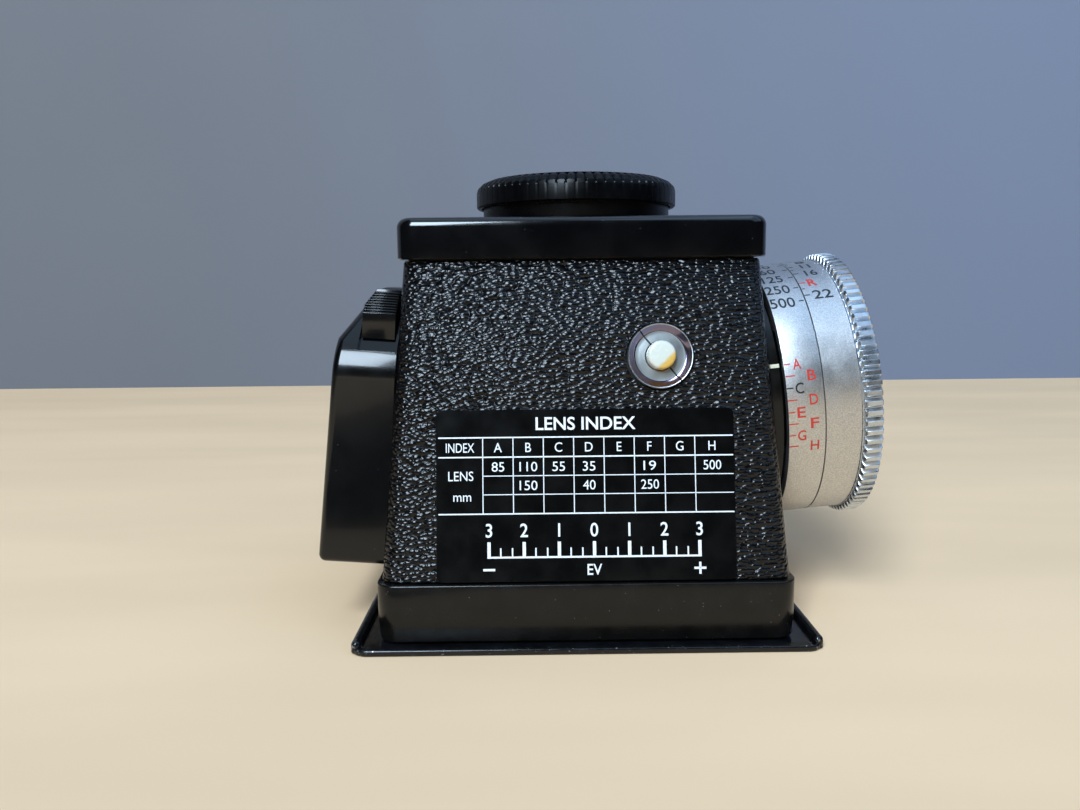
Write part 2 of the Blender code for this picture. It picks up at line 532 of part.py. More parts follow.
def build_housing():
    cover = prism("housing_cover", side_outline(0.0, -6.0), HOUSING_FRONT - 5, HOUSING_BACK + 5,
                  "XZ", BLACK_GLOSS, LEFT)
    combine(cover, prism("housing_plan", front_outline(0.0), -10, 20, "YX", parent=LEFT,
                         cutter=True), "INTERSECT")
    soften(cover, HOUSING_EDGE)
    combine(cover, body_block("housing_seat", -0.2, 0, 70, cutter=True))
    hollow = prism("housing_hollow", side_outline(HOUSING_WALL, -8.0), HOUSING_FRONT - 5,
                   HOUSING_BACK + 5, "XZ", parent=LEFT, cutter=True)
    combine(hollow, prism("hollow_plan", front_outline(HOUSING_WALL + 0.7), -12, 20, "YX",
                          parent=LEFT, cutter=True), "INTERSECT")
    combine(cover, hollow)

    base_u, front_u = slope_u(SLIDER_V), slope_u(SLIDER_V) + SLIDER_HEIGHT
    sunk = SLIDER_SUNK * sqrt(2)
    top_u = HOUSING_TALL - 0.25
    top_v = SLIDER_V + (top_u - front_u)
    back_v = HOUSING_FRONT + (HOUSING_TALL - FOLD_U) - 0.8
    slider = prism("power_slider", [(SLIDER_V, base_u - sunk), (SLIDER_V, front_u),
                                    (top_v, top_u), (back_v, top_u),
                                    (back_v, slope_u(back_v) - sunk)],
                   SLIDER_W[0], SLIDER_W[1], "YX", BLACK_GLOSS, LEFT)
    inset = 0.35
    trim = prism("slider_trim", side_outline(inset, -6.0), HOUSING_FRONT - 5, HOUSING_BACK + 5,
                 "XZ", parent=LEFT, cutter=True)
    combine(slider, trim, "INTERSECT")

    reach = (SLIDER_TRAVEL + 0.35) / sqrt(2)
    deep = (SLIDER_SUNK + GAP) * sqrt(2)
    far = back_v + GAP
    start = SLIDER_V - reach
    track = prism("slider_track", [(start, slope_u(start) - deep), (start - 4, slope_u(start) + 4),
                                   (far, HOUSING_TALL + 8), (far, slope_u(far) - deep)],
                  SLIDER_W[0] - GAP, SLIDER_W[1] + GAP, "YX", parent=LEFT, cutter=True)
    combine(cover, track)

    for index, at in enumerate(HOUSING_SCREWS):
        out = HOUSING_OUT_LOW - (HOUSING_OUT_LOW - HOUSING_OUT_SHOULDER) * at[0] / SHOULDER_U
        combine(cover, cylinder(f"housing_screw_hole_{index}", 0.95, 0, 14, parent=LEFT, at=at,
                                sides=12, cutter=True))
        combine(cover, cylinder(f"housing_screw_sink_{index}", 1.75, out - 0.8, 14, parent=LEFT,
                                at=at, sides=12, cutter=True))
        screw(f"housing_screw_{index + 1}", LEFT, at, (out - 0.05, out - 0.65), 0.7, 0.6, 1.45)

    cap_out = 10.3
    combine(cover, cylinder("cap_hole", CAP_R - 0.9, 5, 14, parent=BATTERY_AXIS, sides=40,
                            cutter=True))
    combine(cover, cylinder("cap_recess", CAP_R + GAP, cap_out - 0.6, 14, parent=BATTERY_AXIS,
                            sides=40, cutter=True))
    cap = turned("battery_cap", [(0, cap_out), (CAP_R, cap_out), (CAP_R, cap_out - 0.35),
                                 (CAP_R - 1.2, cap_out - 0.35), (CAP_R - 1.2, 8.6), (0, 8.6)],
                 SATIN_METAL, BATTERY_AXIS)
    combine(cap, block("coin_slot", (-6, -0.75, cap_out - 0.8), (6, 0.75, 12),
                       parent=BATTERY_AXIS, cutter=True))
    tube("battery_tray", BATTERY_R + GAP, BATTERY_R + 1.2, 1.0, 8.2, DARK_PLASTIC, BATTERY_AXIS)
    turned("battery_cell", [(0, 8.3), (6.0, 8.3), (6.0, 7.7), (BATTERY_R, 7.7),
                            (BATTERY_R, 2.3), (0, 2.3)], SATIN_METAL, BATTERY_AXIS)
    contact = block("battery_contact", (-5.5, -1.5, 1.3), (5.5, 1.5, 1.7), BRASS, BATTERY_AXIS)
    combine(contact, cylinder("contact_rivet_hole", 0.6, 0, 3, parent=BATTERY_AXIS, at=(4, 0),
                              sides=16, cutter=True))
    board = block("circuit_board", (3.0, 4.0, 3.0), (17.5, 12.5, 3.8), BOARD, LEFT)
    combine(board, cylinder("board_hole", 0.8, 2, 5, parent=LEFT, at=(15.5, 10.5), sides=16,
                            cutter=True))
    turned("trim_resistor", [(0, 5.6), (2.0, 5.6), (2.0, 4.1), (0, 4.1)], DARK_PLASTIC, LEFT,
           at=(8.0, 8.0), sides=24)


# ---------------------------------------------------------------- galvanometer
def build_meter():
    tube("meter_magnet", 4.7, 7.2, 3.4, 7.0, STEEL, METER_AXIS, sides=40)
    bridge = block("meter_bridge", (-2.0, -8.0, 7.3), (2.0, 8.0, 7.9), BRASS, METER_AXIS)
    combine(bridge, cylinder("bridge_pivot_hole", 0.6, 6, 9, parent=METER_AXIS, sides=16,
                             cutter=True))
    coil = cylinder("meter_coil", 0.4, 1.2, 7.7, BRASS, METER_AXIS, sides=16)
    bobbin = block("coil_bobbin", (-4.0, -0.9, 3.3), (4.0, 0.9, 6.9), parent=METER_AXIS,
                   cutter=True)
    combine(coil, bobbin, "UNION")
    combine(coil, block("coil_window_low", (0.9, -2, 4.1), (3.2, 2, 6.1), parent=METER_AXIS,
                        cutter=True))
    combine(coil, block("coil_window_high", (-3.2, -2, 4.1), (-0.9, 2, 6.1), parent=METER_AXIS,
                        cutter=True))
    block("meter_needle", (0.7, -0.2, 1.3), (11.3, 0.2, 1.6), WHITE_PLASTIC, METER_AXIS)
    turns, per_turn = 3, 9
    count = turns * per_turn
    spiral = []
    for i in range(count + 1):
        angle, radius = 2 * pi * i / per_turn, 0.8 + 1.6 * i / count
        spiral.append((radius * cos(angle), radius * sin(angle), 2.4))
    wire("hairspring", spiral, 0.09, BRASS, METER_AXIS)


build_base()
build_body()
build_cover_and_eyepiece()
build_button()
build_dial()
build_housing()
build_meter()
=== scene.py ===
"""Looks of the metering chimney viewfinder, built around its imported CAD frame.

World axes are the CAD's: +X to the user's right, +Y away from the user, +Z up, in metres.
Sizes below are in millimetres and are turned into metres as meshes are made.
"""

from math import atan2, ceil, cos, pi, radians, sin, sqrt, tan

import bmesh
import bpy
from mathutils import Matrix, Vector


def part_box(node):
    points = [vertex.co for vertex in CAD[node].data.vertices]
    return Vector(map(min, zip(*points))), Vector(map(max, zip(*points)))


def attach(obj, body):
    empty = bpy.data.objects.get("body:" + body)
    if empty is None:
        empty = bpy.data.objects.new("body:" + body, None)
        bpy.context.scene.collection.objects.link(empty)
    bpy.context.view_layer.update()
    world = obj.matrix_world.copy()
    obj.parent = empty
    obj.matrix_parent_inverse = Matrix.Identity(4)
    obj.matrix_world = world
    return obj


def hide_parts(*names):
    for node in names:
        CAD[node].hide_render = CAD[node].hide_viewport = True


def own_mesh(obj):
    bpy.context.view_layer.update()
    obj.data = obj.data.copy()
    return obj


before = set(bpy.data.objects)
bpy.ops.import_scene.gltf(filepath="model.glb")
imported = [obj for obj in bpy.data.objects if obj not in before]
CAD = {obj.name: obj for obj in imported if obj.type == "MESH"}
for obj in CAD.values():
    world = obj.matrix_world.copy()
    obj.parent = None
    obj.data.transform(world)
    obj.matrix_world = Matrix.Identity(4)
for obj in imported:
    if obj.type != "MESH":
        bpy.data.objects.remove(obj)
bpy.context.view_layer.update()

MM = 0.001

# Driving dimensions, as the CAD has them
GAP = 0.3
PLATE_X, PLATE_Y, PLATE_THICK, LIP_WIDTH, LIP_TOP, PLATE_CORNER = 71.6, 67.0, 1.0, 1.6, 2.1, 2.6
VIEW_OPENING = 54.0
COLLAR_X, COLLAR_Y, COLLAR_BOTTOM, COLLAR_BAND, COLLAR_TOP = 64.0, 63.6, 1.3, 4.7, 10.4
COLLAR_CORNER, COLLAR_TUCK, COLLAR_OPENING = 3.0, 0.14, 55.4
BASE_SCREW_X, BASE_SCREW_Y = 29.85, 19.0
BODY_LOW, BODY_HIGH, BODY_CORNER = 10.4, 58.9, 2.5
HALF_X_LOW, HALF_X_HIGH, HALF_Y_LOW, HALF_Y_HIGH = 31.25, 27.9, 31.2, 21.4
SKIN_THICK = 0.55
SIDE_LEAN = atan2(HALF_X_LOW - HALF_X_HIGH, BODY_HIGH - BODY_LOW)
FRONT_LEAN = atan2(HALF_Y_LOW - HALF_Y_HIGH, BODY_HIGH - BODY_LOW)
COVER_HALF_X, COVER_HALF_Y, COVER_LOW, COVER_TOP = 28.8, 22.3, 59.1, 65.5
COVER_WALL, COVER_ROOF, COVER_CORNER, COVER_EDGE = 1.3, 1.4, 3.0, 1.5
NECK_R, NECK_BORE, NECK_STEM_R, NECK_TOP, NECK_LOW = 16.3, 14.2, 15.2, 70.0, 61.5
RING_R, RING_LOW, RING_TOP, RING_OPENING = 17.45, 68.25, 72.9, 12.6
LENS_R = 11.9
LENSES = {                      # heights of the low and high faces, at the edge and then in the middle
    "field_lens": (58.9, 61.0, 58.1, 61.7),
    "eye_lens": (64.6, 66.7, 63.9, 67.8),
}
RETAINER_LOW, RETAINER_HIGH, RETAINER_BORE = 66.95, 68.6, 11.1
PLATE_LOW, PLATE_HIGH = 0.35, 26.3
BUTTON_X, BUTTON_UP, NUT_R, NUT_BORE, NUT_RIM, BUTTON_R, BUTTON_TOP = 11.7, 34.3, 5.0, 3.55, 0.9, 2.4, 2.5
BUTTON_STEM_R, SLOT_ANGLE = 0.9, radians(129)
COIL_LOW, COIL_HIGH = -7.30, -2.7
DIAL_Y, DIAL_Z, DIAL_LEAN = -1.5, 35.6, radians(5.6)
DRUM_R, FLANGE_R, HUB_R, POST_R, HUB_TOP, POST_TOP, SHAFT_R = 22.0, 23.0, 20.9, 10.0, 2.1, 9.0, 2.0
SPEED_LOW, SPEED_TOP, APERTURE_LOW, APERTURE_TOP = 2.4, 8.1, 8.35, 17.1
HOUSING_Z, HOUSING_FRONT, HOUSING_BACK, HOUSING_TALL = 10.65, -23.0, 20.0, 44.15
FOLD_U, SHOULDER_U = 33.25, 35.75
HOUSING_OUT_LOW, HOUSING_OUT_SHOULDER, HOUSING_OUT_TOP = 11.5, 9.9, 4.8
HOUSING_WALL, BACK_CHAMFER, FOLD_BEND, HOUSING_EDGE = 1.4, 5.0, 3.2, 1.25
SLIDER_V, SLIDER_W, SLIDER_TRAVEL, SLIDER_HEIGHT, SLIDER_SUNK = -19.6, (0.9, 6.1), 2.2, 3.4, 0.45
BATTERY_U, BATTERY_V, CAP_R, CAP_OUT = 12.0, -9.0, 9.0, 10.3
HOUSING_SCREW_SPOTS = ((5.0, 15.5), (33.0, 15.5))
SLIDER_BACK = HOUSING_FRONT + (HOUSING_TALL - FOLD_U) - 0.8


# ---------------------------------------------------------------- frames
def half_x(z):
    return HALF_X_LOW - (z - BODY_LOW) * tan(SIDE_LEAN)


def half_y(z):
    return HALF_Y_LOW - (z - BODY_LOW) * tan(FRONT_LEAN)


def at(x, y, z, rotation=Matrix.Identity(3)):
    """A local frame with its origin at (x, y, z) millimetres in the viewfinder's own frame."""
    return Matrix.Translation(Vector((EYEPIECE_X + x * MM, y * MM, z * MM))) @ rotation.to_4x4()


def moved(x, y, z):
    return Matrix.Translation(Vector((x, y, z)) * MM)


def spun_round(angle):
    return Matrix.Rotation(angle, 4, "Z")


ring_low, ring_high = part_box("eyepiece_ring")
EYEPIECE_X = (ring_low.x + ring_high.x) / 2
ROOT = at(0, 0, 0)
FRONT = at(0, -HALF_Y_LOW, BODY_LOW, Matrix.Rotation(pi / 2 - FRONT_LEAN, 3, "X"))
BUTTON = FRONT @ moved(BUTTON_X, BUTTON_UP, 0)
DIAL = at(half_x(DIAL_Z), DIAL_Y, DIAL_Z, Matrix.Rotation(pi / 2 - DIAL_LEAN, 3, "Y"))
LEFT = at(-half_x(HOUSING_Z), 0, HOUSING_Z, Matrix.Rotation(-(pi / 2 - SIDE_LEAN), 3, "Y"))
BATTERY = LEFT @ moved(BATTERY_U, BATTERY_V, 0)


# ---------------------------------------------------------------- finishes
class Finish:
    """A Principled material with helpers for its procedural nodes."""

    def __init__(self, name, colour, roughness, metallic=0.0, specular=0.5, **sockets):
        self.material = bpy.data.materials.new(name)
        self.material.use_nodes = True
        self.tree = self.material.node_tree
        self.shader = self.tree.nodes["Principled BSDF"]
        self.colour, self.roughness = colour, roughness
        self.set("Base Color", (*colour, 1.0))
        self.set("Roughness", roughness)
        self.set("Metallic", metallic)
        self.set("Specular IOR Level", specular)
        for socket, value in sockets.items():
            self.set(socket.replace("_", " "), value)
        self.place = self.node("TexCoord").outputs["Object"]
        self.last_bump = None

    def node(self, kind, **settings):
        made = self.tree.nodes.new("ShaderNode" + kind)
        for setting, value in settings.items():
            setattr(made, setting, value)
        return made

    def join(self, source, socket):
        if isinstance(source, bpy.types.NodeSocket):
            self.tree.links.new(source, socket)
        else:
            socket.default_value = source

    def set(self, socket, value):
        self.join(value, self.shader.inputs[socket])

    def math(self, operation, first, second=0.0, third=0.0):
        made = self.node("Math", operation=operation)
        for value, socket in zip((first, second, third), made.inputs):
            self.join(value, socket)
        return made.outputs[0]

    def scaled(self, scale, source=None):
        made = self.node("Mapping")
        made.inputs["Scale"].default_value = scale
        self.join(source or self.place, made.inputs["Vector"])
        return made.outputs[0]

    def axis(self, index, source=None):
        made = self.node("SeparateXYZ")
        self.join(source or self.place, made.inputs[0])
        return made.outputs[index]

    def noise(self, size, detail=2.0, rough=0.5, stretch=(1, 1, 1)):
        """Noise whose blobs are about size millimetres across."""
        made = self.node("TexNoise")
        made.inputs["Scale"].default_value = 1.0
        made.inputs["Detail"].default_value = detail
        made.inputs["Roughness"].default_value = rough
        scale = [axis / (size * MM) for axis in stretch]
        self.join(self.scaled(scale), made.inputs["Vector"])
        return made.outputs["Fac"]

    def between(self, value, low, high, start=0.0, end=1.0):
        """Maps value smoothly from low..high onto start..end."""
        made = self.node("MapRange", interpolation_type="SMOOTHSTEP")
        for key, number in (("From Min", low), ("From Max", high), ("To Min", start), ("To Max", end)):
            self.join(number, made.inputs[key])
        self.join(value, made.inputs["Value"])
        return made.outputs["Result"]

    def mix(self, factor, first, second):
        made = self.node("Mix", data_type="RGBA")
        self.join(factor, made.inputs["Factor"])
        for colour, socket in ((first, made.inputs[6]), (second, made.inputs[7])):
            self.join((*colour, 1.0) if isinstance(colour, tuple) else colour, socket)
        return made.outputs[2]

    def paint(self, colour):
        self.painted = colour
        self.set("Base Color", colour)

    def bump(self, height, depth, strength=1.0):
        """Adds relief of that depth in millimetres on top of any relief already there."""
        made = self.node("Bump")
        made.inputs["Strength"].default_value = strength
        made.inputs["Distance"].default_value = depth * MM
        self.join(height, made.inputs["Height"])
        if self.last_bump:
            self.join(self.last_bump, made.inputs["Normal"])
        self.last_bump = made.outputs["Normal"]
        self.set("Normal", self.last_bump)

    def vary(self, size, colour_swing, rough_swing, stretch=(1, 1, 1)):
        """Soft blotches of slightly different colour and gloss."""
        blotch = self.noise(size, 3.0, 0.55, stretch)
        light = tuple(min(1.0, channel * (1 + colour_swing)) for channel in self.colour)
        dark = tuple(channel * (1 - colour_swing) for channel in self.colour)
        self.paint(self.mix(self.between(blotch, 0.3, 0.7), dark, light))
        self.set("Roughness", self.between(blotch, 0.3, 0.7, self.roughness - rough_swing,
                                           self.roughness + rough_swing))

    def specks(self, size, share, colour):
        """Small dots of another colour: dust or paint pits on that share of cells three times as wide."""
        cells = self.node("TexVoronoi")
        cells.inputs["Scale"].default_value = 1 / (size * 3 * MM)
        self.join(self.place, cells.inputs["Vector"])
        picked = self.between(self.axis(0, cells.outputs["Color"]), 1 - share - 0.001, 1 - share)
        dot = self.between(cells.outputs["Distance"], 0.12, 0.3, 1.0, 0.0)
        self.paint(self.mix(self.math("MULTIPLY", picked, dot), self.painted, colour))


FINISH = {}


def add_finish(key, finish, vary=None, relief=(), specks=None):
    """Files a finish with its blotches, specks and relief as (size, detail, depth, strength)."""
    if vary:
        finish.vary(*vary)
    if specks:
        finish.specks(*specks)
    for size, detail, depth, strength in relief:
        finish.bump(finish.noise(size, detail), depth, strength)
    FINISH[key] = finish.material
    return finish


def make_black_finishes():
    gloss = Finish("gloss_black_enamel", (0.0016, 0.0017, 0.0021), 0.15, specular=0.35,
                   Coat_Weight=0.5, Coat_Roughness=0.06)
    add_finish("gloss", gloss, vary=(6.0, 0.25, 0.03), specks=(0.07, 0.004, (0.2, 0.21, 0.24)),
               relief=[(1.6, 2.0, 0.004, 0.5), (0.12, 1.0, 0.0015, 0.3)])
    moulded = Finish("gloss_black_moulding", (0.0014, 0.0015, 0.0018), 0.21, specular=0.3,
                     Coat_Weight=0.3, Coat_Roughness=0.08)
    add_finish("moulded", moulded, vary=(5.0, 0.25, 0.03), specks=(0.07, 0.003, (0.15, 0.15, 0.17)),
               relief=[(2.2, 2.0, 0.005, 0.5), (0.16, 2.0, 0.002, 0.35)])
    satin = Finish("satin_black_enamel", (0.005, 0.0045, 0.004), 0.24, specular=0.32)
    add_finish("satin", satin, vary=(4.0, 0.3, 0.04), specks=(0.08, 0.006, (0.22, 0.2, 0.17)),
               relief=[(0.3, 3.0, 0.003, 0.45)])
    anodised = Finish("black_anodised_ring", (0.001, 0.0011, 0.0015), 0.3, specular=0.15)
    add_finish("anodised", anodised, vary=(3.0, 0.3, 0.04), relief=[(0.25, 2.0, 0.004, 0.5)])
    sheet = Finish("black_anodised_sheet", (0.003, 0.003, 0.003), 0.17, specular=0.3)
    add_finish("sheet", sheet, vary=(5.0, 0.25, 0.04), relief=[(0.3, 2.0, 0.0015, 0.3)])
    lining_and_shade = Finish("matt_black_lining", (0.011, 0.011, 0.011), 0.75)
    add_finish("lining_and_shade", lining_and_shade, vary=(2.0, 0.3, 0.1), relief=[(0.15, 2.0, 0.02, 0.6)])


def make_worn_plate():
    """Black enamel with bare metal showing in chips along the plate's edges and at its corners."""
    worn = Finish("worn_black_plate", (0.004, 0.0042, 0.005), 0.2, specular=0.4)
    add_finish("worn", worn, vary=(3.0, 0.35, 0.07), relief=[(0.35, 3.0, 0.008, 0.6)])
    far_x, far_y = (worn.math("ABSOLUTE", worn.axis(axis)) for axis in (0, 1))
    edge_x, edge_y = PLATE_X / 2, PLATE_Y / 2
    on_edge = worn.between(far_y, (edge_y - 0.9) * MM, (edge_y - 0.3) * MM)
    on_side = worn.between(far_x, (edge_x - 1.0) * MM, (edge_x - 0.4) * MM)
    corner = worn.math("MULTIPLY", worn.between(far_y, (edge_y - 2.6) * MM, edge_y * MM),
                       worn.between(far_x, (edge_x - 3.0) * MM, (edge_x - 1.2) * MM))
    edge = worn.math("MAXIMUM", on_edge, on_side)
    chips = worn.between(worn.noise(0.5, 4.0, 0.65), 0.63, 0.69)
    big_chips = worn.between(worn.noise(0.9, 3.0, 0.6), 0.56, 0.62)
    bare = worn.math("MAXIMUM", worn.math("MULTIPLY", chips, worn.math("MULTIPLY", edge, 0.75)),
                     worn.math("MULTIPLY", big_chips, corner))
    worn.paint(worn.mix(bare, worn.painted, (0.33, 0.33, 0.34)))
    worn.set("Metallic", worn.math("MULTIPLY", bare, 0.8))


PEBBLE_WIDE, PEBBLE_TALL, PEBBLE_DEEP = 1.16, 0.62, 0.21
PEBBLE_SWAY, PEBBLE_SWAY_SIZE = (0.4, 0.4, 0.3), 1.6


def make_leatherette():
    """Pebbles wider than tall, each a dome, with their rows swaying a little."""
    leather = Finish("black_leatherette", (0.0025, 0.0027, 0.0033), 0.2, specular=0.36)
    sway = leather.node("TexNoise")
    sway.inputs["Scale"].default_value = 1 / (PEBBLE_SWAY_SIZE * MM)
    sway.inputs["Detail"].default_value = 2.0
    leather.join(leather.place, sway.inputs["Vector"])
    shift = leather.node("VectorMath", operation="MULTIPLY_ADD")
    leather.join(sway.outputs["Color"], shift.inputs[0])
    shift.inputs[1].default_value = [reach * MM for reach in PEBBLE_SWAY]
    leather.join(leather.place, shift.inputs[2])
    across, up = 1 / (PEBBLE_WIDE * MM), 1 / (PEBBLE_TALL * MM)
    grain_place = leather.scaled((across, across, up), shift.outputs[0])
    valley = leather.node("TexVoronoi", feature="DISTANCE_TO_EDGE")
    dome = leather.node("TexVoronoi", feature="SMOOTH_F1")
    dome.inputs["Smoothness"].default_value = 0.22
    for texture in (valley, dome):
        texture.inputs["Scale"].default_value = 1.0
        texture.inputs["Randomness"].default_value = 1.0
        leather.join(grain_place, texture.inputs["Vector"])
    trench = leather.between(valley.outputs["Distance"], 0.0, 0.2)
    reach = dome.outputs["Distance"]
    crown = leather.math("MULTIPLY_ADD", leather.math("MULTIPLY", reach, reach), -1.6, 1.0)
    leather.bump(leather.math("ADD", leather.math("MULTIPLY", trench, 0.06), crown), PEBBLE_DEEP)
    # The valleys between the pebbles are painted darker than their crowns: painted shade in the creases.
    leather.paint(leather.mix(trench, (0.001, 0.001, 0.0012), (0.0028, 0.003, 0.0038)))
    leather.set("Roughness", leather.between(leather.noise(0.6), 0.3, 0.7, 0.14, 0.22))
    add_finish("leather", leather, relief=[(0.35, 2.0, 0.008, 0.5)])


def make_metal_finishes():
    blasted = Finish("bead_blasted_chrome", (0.6, 0.6, 0.6), 0.38, 1.0)
    add_finish("blasted", blasted, vary=(3.0, 0.04, 0.03))
    grit = blasted.between(blasted.noise(0.2, 2.0, 0.7), 0.36, 0.64)
    blasted.paint(blasted.mix(grit, (0.5, 0.5, 0.51), (0.7, 0.69, 0.68)))
    blasted.bump(blasted.noise(0.22, 3.0, 0.75), 0.03, 0.75)

    spun = Finish("spun_nickel", (0.5, 0.53, 0.53), 0.34, 1.0)
    add_finish("spun", spun, vary=(4.0, 0.05, 0.03))
    radius = spun.node("VectorMath", operation="LENGTH")
    spun.join(spun.scaled((1, 1, 0)), radius.inputs[0])
    groove_pitch = 0.12 * MM
    grooves = spun.math("SINE", spun.math("MULTIPLY", radius.outputs["Value"], 2 * pi / groove_pitch))
    spun.bump(grooves, 0.002, 0.4)
    spun.bump(spun.noise(0.25, 3.0), 0.004, 0.4)

    for key, name, colour, roughness, vary, relief in (
            # Bright nickel with a bluish tint: partly the metal's own colour, partly a painted reflection of
            # the blue window light.
            ("bright", "bright_nickel", (0.62, 0.66, 0.71), 0.3, (1.5, 0.08, 0.04), (0.3, 3.0, 0.006, 0.5)),
            # The polished nickel's colour is dark and purplish: a painted dark reflection on the nut's slope.
            ("polished", "polished_nickel_painted_dark", (0.22, 0.19, 0.27), 0.16, (3.0, 0.05, 0.03),
             (0.4, 2.0, 0.003, 0.4)),
            ("steel", "zinc_steel", (0.5, 0.5, 0.5), 0.32, (1.2, 0.15, 0.08), (0.2, 3.0, 0.006, 0.5)),
            ("brass", "dull_brass", (0.55, 0.4, 0.18), 0.35, (1.5, 0.2, 0.08), (0.25, 3.0, 0.006, 0.5)),
            ("bare", "bare_aluminium_edge", (0.6, 0.6, 0.6), 0.3, (0.8, 0.25, 0.1),
             (0.2, 2.0, 0.004, 0.5))):
        add_finish(key, Finish(name, colour, roughness, 1.0), vary=vary, relief=[relief])


def make_other_finishes():
    ivory = Finish("ivory_button", (0.82, 0.80, 0.70), 0.24, Subsurface_Weight=0.15,
                   Subsurface_Scale=0.0015, Coat_Weight=0.4, Coat_Roughness=0.08)
    # The lower right side of the cap is painted yellow: a painted warm reflection of the floor.
    across = ivory.math("SUBTRACT", ivory.axis(0), ivory.axis(1))
    ragged = ivory.math("ADD", across, ivory.math("MULTIPLY", ivory.noise(1.2), 0.7 * MM))
    warm_reflection = ivory.between(ragged, 1.3 * MM, 2.3 * MM)
    ivory.paint(ivory.mix(warm_reflection, (0.66, 0.69, 0.62), (0.7, 0.44, 0.1)))
    ivory.set("Roughness", ivory.between(ivory.noise(0.8), 0.3, 0.7, 0.2, 0.3))
    add_finish("ivory", ivory, relief=[(0.5, 2.0, 0.006, 0.5)])

    glass = Finish("coated_glass", (0.93, 0.95, 0.98), 0.02, Transmission_Weight=1.0, IOR=1.52,
                   Coat_Weight=0.4, Coat_Roughness=0.03, Coat_Tint=(0.8, 0.74, 1.0, 1.0))
    glass.set("Roughness", glass.between(glass.noise(4.0), 0.3, 0.7, 0.01, 0.035))
    add_finish("glass", glass)
    plastic = Finish("dark_plastic", (0.018, 0.018, 0.019), 0.45)
    add_finish("plastic", plastic, vary=(3.0, 0.25, 0.08), relief=[(0.2, 3.0, 0.006, 0.5)])
    board = Finish("circuit_board", (0.2, 0.13, 0.05), 0.5)
    add_finish("board", board, vary=(1.0, 0.2, 0.1, (3, 1, 1)), relief=[(0.3, 2.0, 0.008, 0.5)])
    for name, colour in (("white_ink", (0.84, 0.86, 0.88)), ("black_ink", (0.012, 0.014, 0.018)),
                         ("red_ink", (0.5, 0.035, 0.025)), ("cream_ink", (0.66, 0.62, 0.46))):
        add_finish(name, Finish(name, colour, 0.42), vary=(0.5, 0.08, 0.05), relief=[(0.15, 2.0, 0.004, 0.5)])


# ---------------------------------------------------------------- modelling helpers
def new_object(name, mesh, matrix, finishes, angle=35.0):
    obj = bpy.data.objects.new(name, mesh)
    bpy.context.scene.collection.objects.link(obj)
    obj.matrix_world = matrix
    for finish in [finishes] if isinstance(finishes, str) else finishes:
        mesh.materials.append(FINISH[finish])
    mesh.shade_smooth()
    mesh.set_sharp_from_angle(angle=radians(angle))
    return obj


def piece(obj, body, slot, *nodes):
    """Hangs a finished piece on its body and lets it stand for its CAD nodes."""
    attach(obj, body)
    if nodes:
        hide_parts(*nodes)
    return obj


def mesh_from(name, bm):
    bmesh.ops.recalc_face_normals(bm, faces=bm.faces[:])
    mesh = bpy.data.meshes.new(name)
    bm.to_mesh(mesh)
    bm.free()
    return mesh


def rounded(outline, radius, steps=4, closed=True):
    """The outline with an arc of about that radius in place of each corner."""
    count = len(outline)
    made = []
    for i, corner in enumerate(outline):
        if not closed and i in (0, count - 1):
            made.append(corner)
            continue
        here = Vector(corner)
        back, on = Vector(outline[i - 1]) - here, Vector(outline[(i + 1) % count]) - here
        opening = back.angle(on, pi)
        if opening > radians(176):
            made.append(corner)
            continue
        reach = min(radius / max(tan(opening / 2), 0.2), back.length * 0.45, on.length * 0.45)
        start, end = here + back.normalized() * reach, here + on.normalized() * reach
        for t in [step / steps for step in range(steps + 1)]:
            made.append(tuple(start * (1 - t) ** 2 + here * 2 * t * (1 - t) + end * t ** 2))
    return made


def turned(name, profile, matrix, finish, sides=96, cut=None, smooth=35.0):
    """A turned piece: the profile of (radius, height) goes round Z. Its columns of corners are evenly
    spaced or at the angles given, and cut(radius, height, angle) is how far the surface is cut in."""
    bm = bmesh.new()
    angles = sides if isinstance(sides, list) else [2 * pi * side / sides for side in range(sides)]
    on_axis = [radius < 1e-6 for radius, _ in profile]
    shared = [bm.verts.new(Vector((0, 0, height)) * MM) if axial else None
              for (_, height), axial in zip(profile, on_axis)]
    columns = []
    for angle in angles:
        column = []
        for (radius, height), centre in zip(profile, shared):
            reach = radius - (cut(radius, height, angle) if cut else 0.0)
            point = Vector((reach * cos(angle), reach * sin(angle), height)) * MM
            column.append(centre or bm.verts.new(point))
        columns.append(column)
    last = len(profile) - 1 if on_axis[0] and on_axis[-1] else len(profile)
    for here, there in zip(columns, columns[1:] + columns[:1]):
        for i in range(last):
            j = (i + 1) % len(profile)
            loop = []
            for vert in (here[i], here[j], there[j], there[i]):
                if vert not in loop:
                    loop.append(vert)
            if len(loop) > 2:
                bm.faces.new(loop)
    return new_object(name, mesh_from(name, bm), matrix, finish, smooth)


def loop_of(half_wide, half_deep, corner, z, steps=8):
    """A rounded rectangle at height z."""
    points = []
    corner = max(corner, 0.02)
    for quarter, (sx, sy) in enumerate(((1, 1), (-1, 1), (-1, -1), (1, -1))):
        for step in range(steps + 1):
            angle = pi / 2 * (quarter + step / steps)
            points.append((sx * (half_wide - corner) + corner * cos(angle),
                           sy * (half_deep - corner) + corner * sin(angle), z))
    return points


def body_loop(z, inset, corner=BODY_CORNER, steps=8):
    """The tapered body's outside at height z, drawn in by that much."""
    return loop_of(half_x(z) - inset, half_y(z) - inset, corner, z, steps)


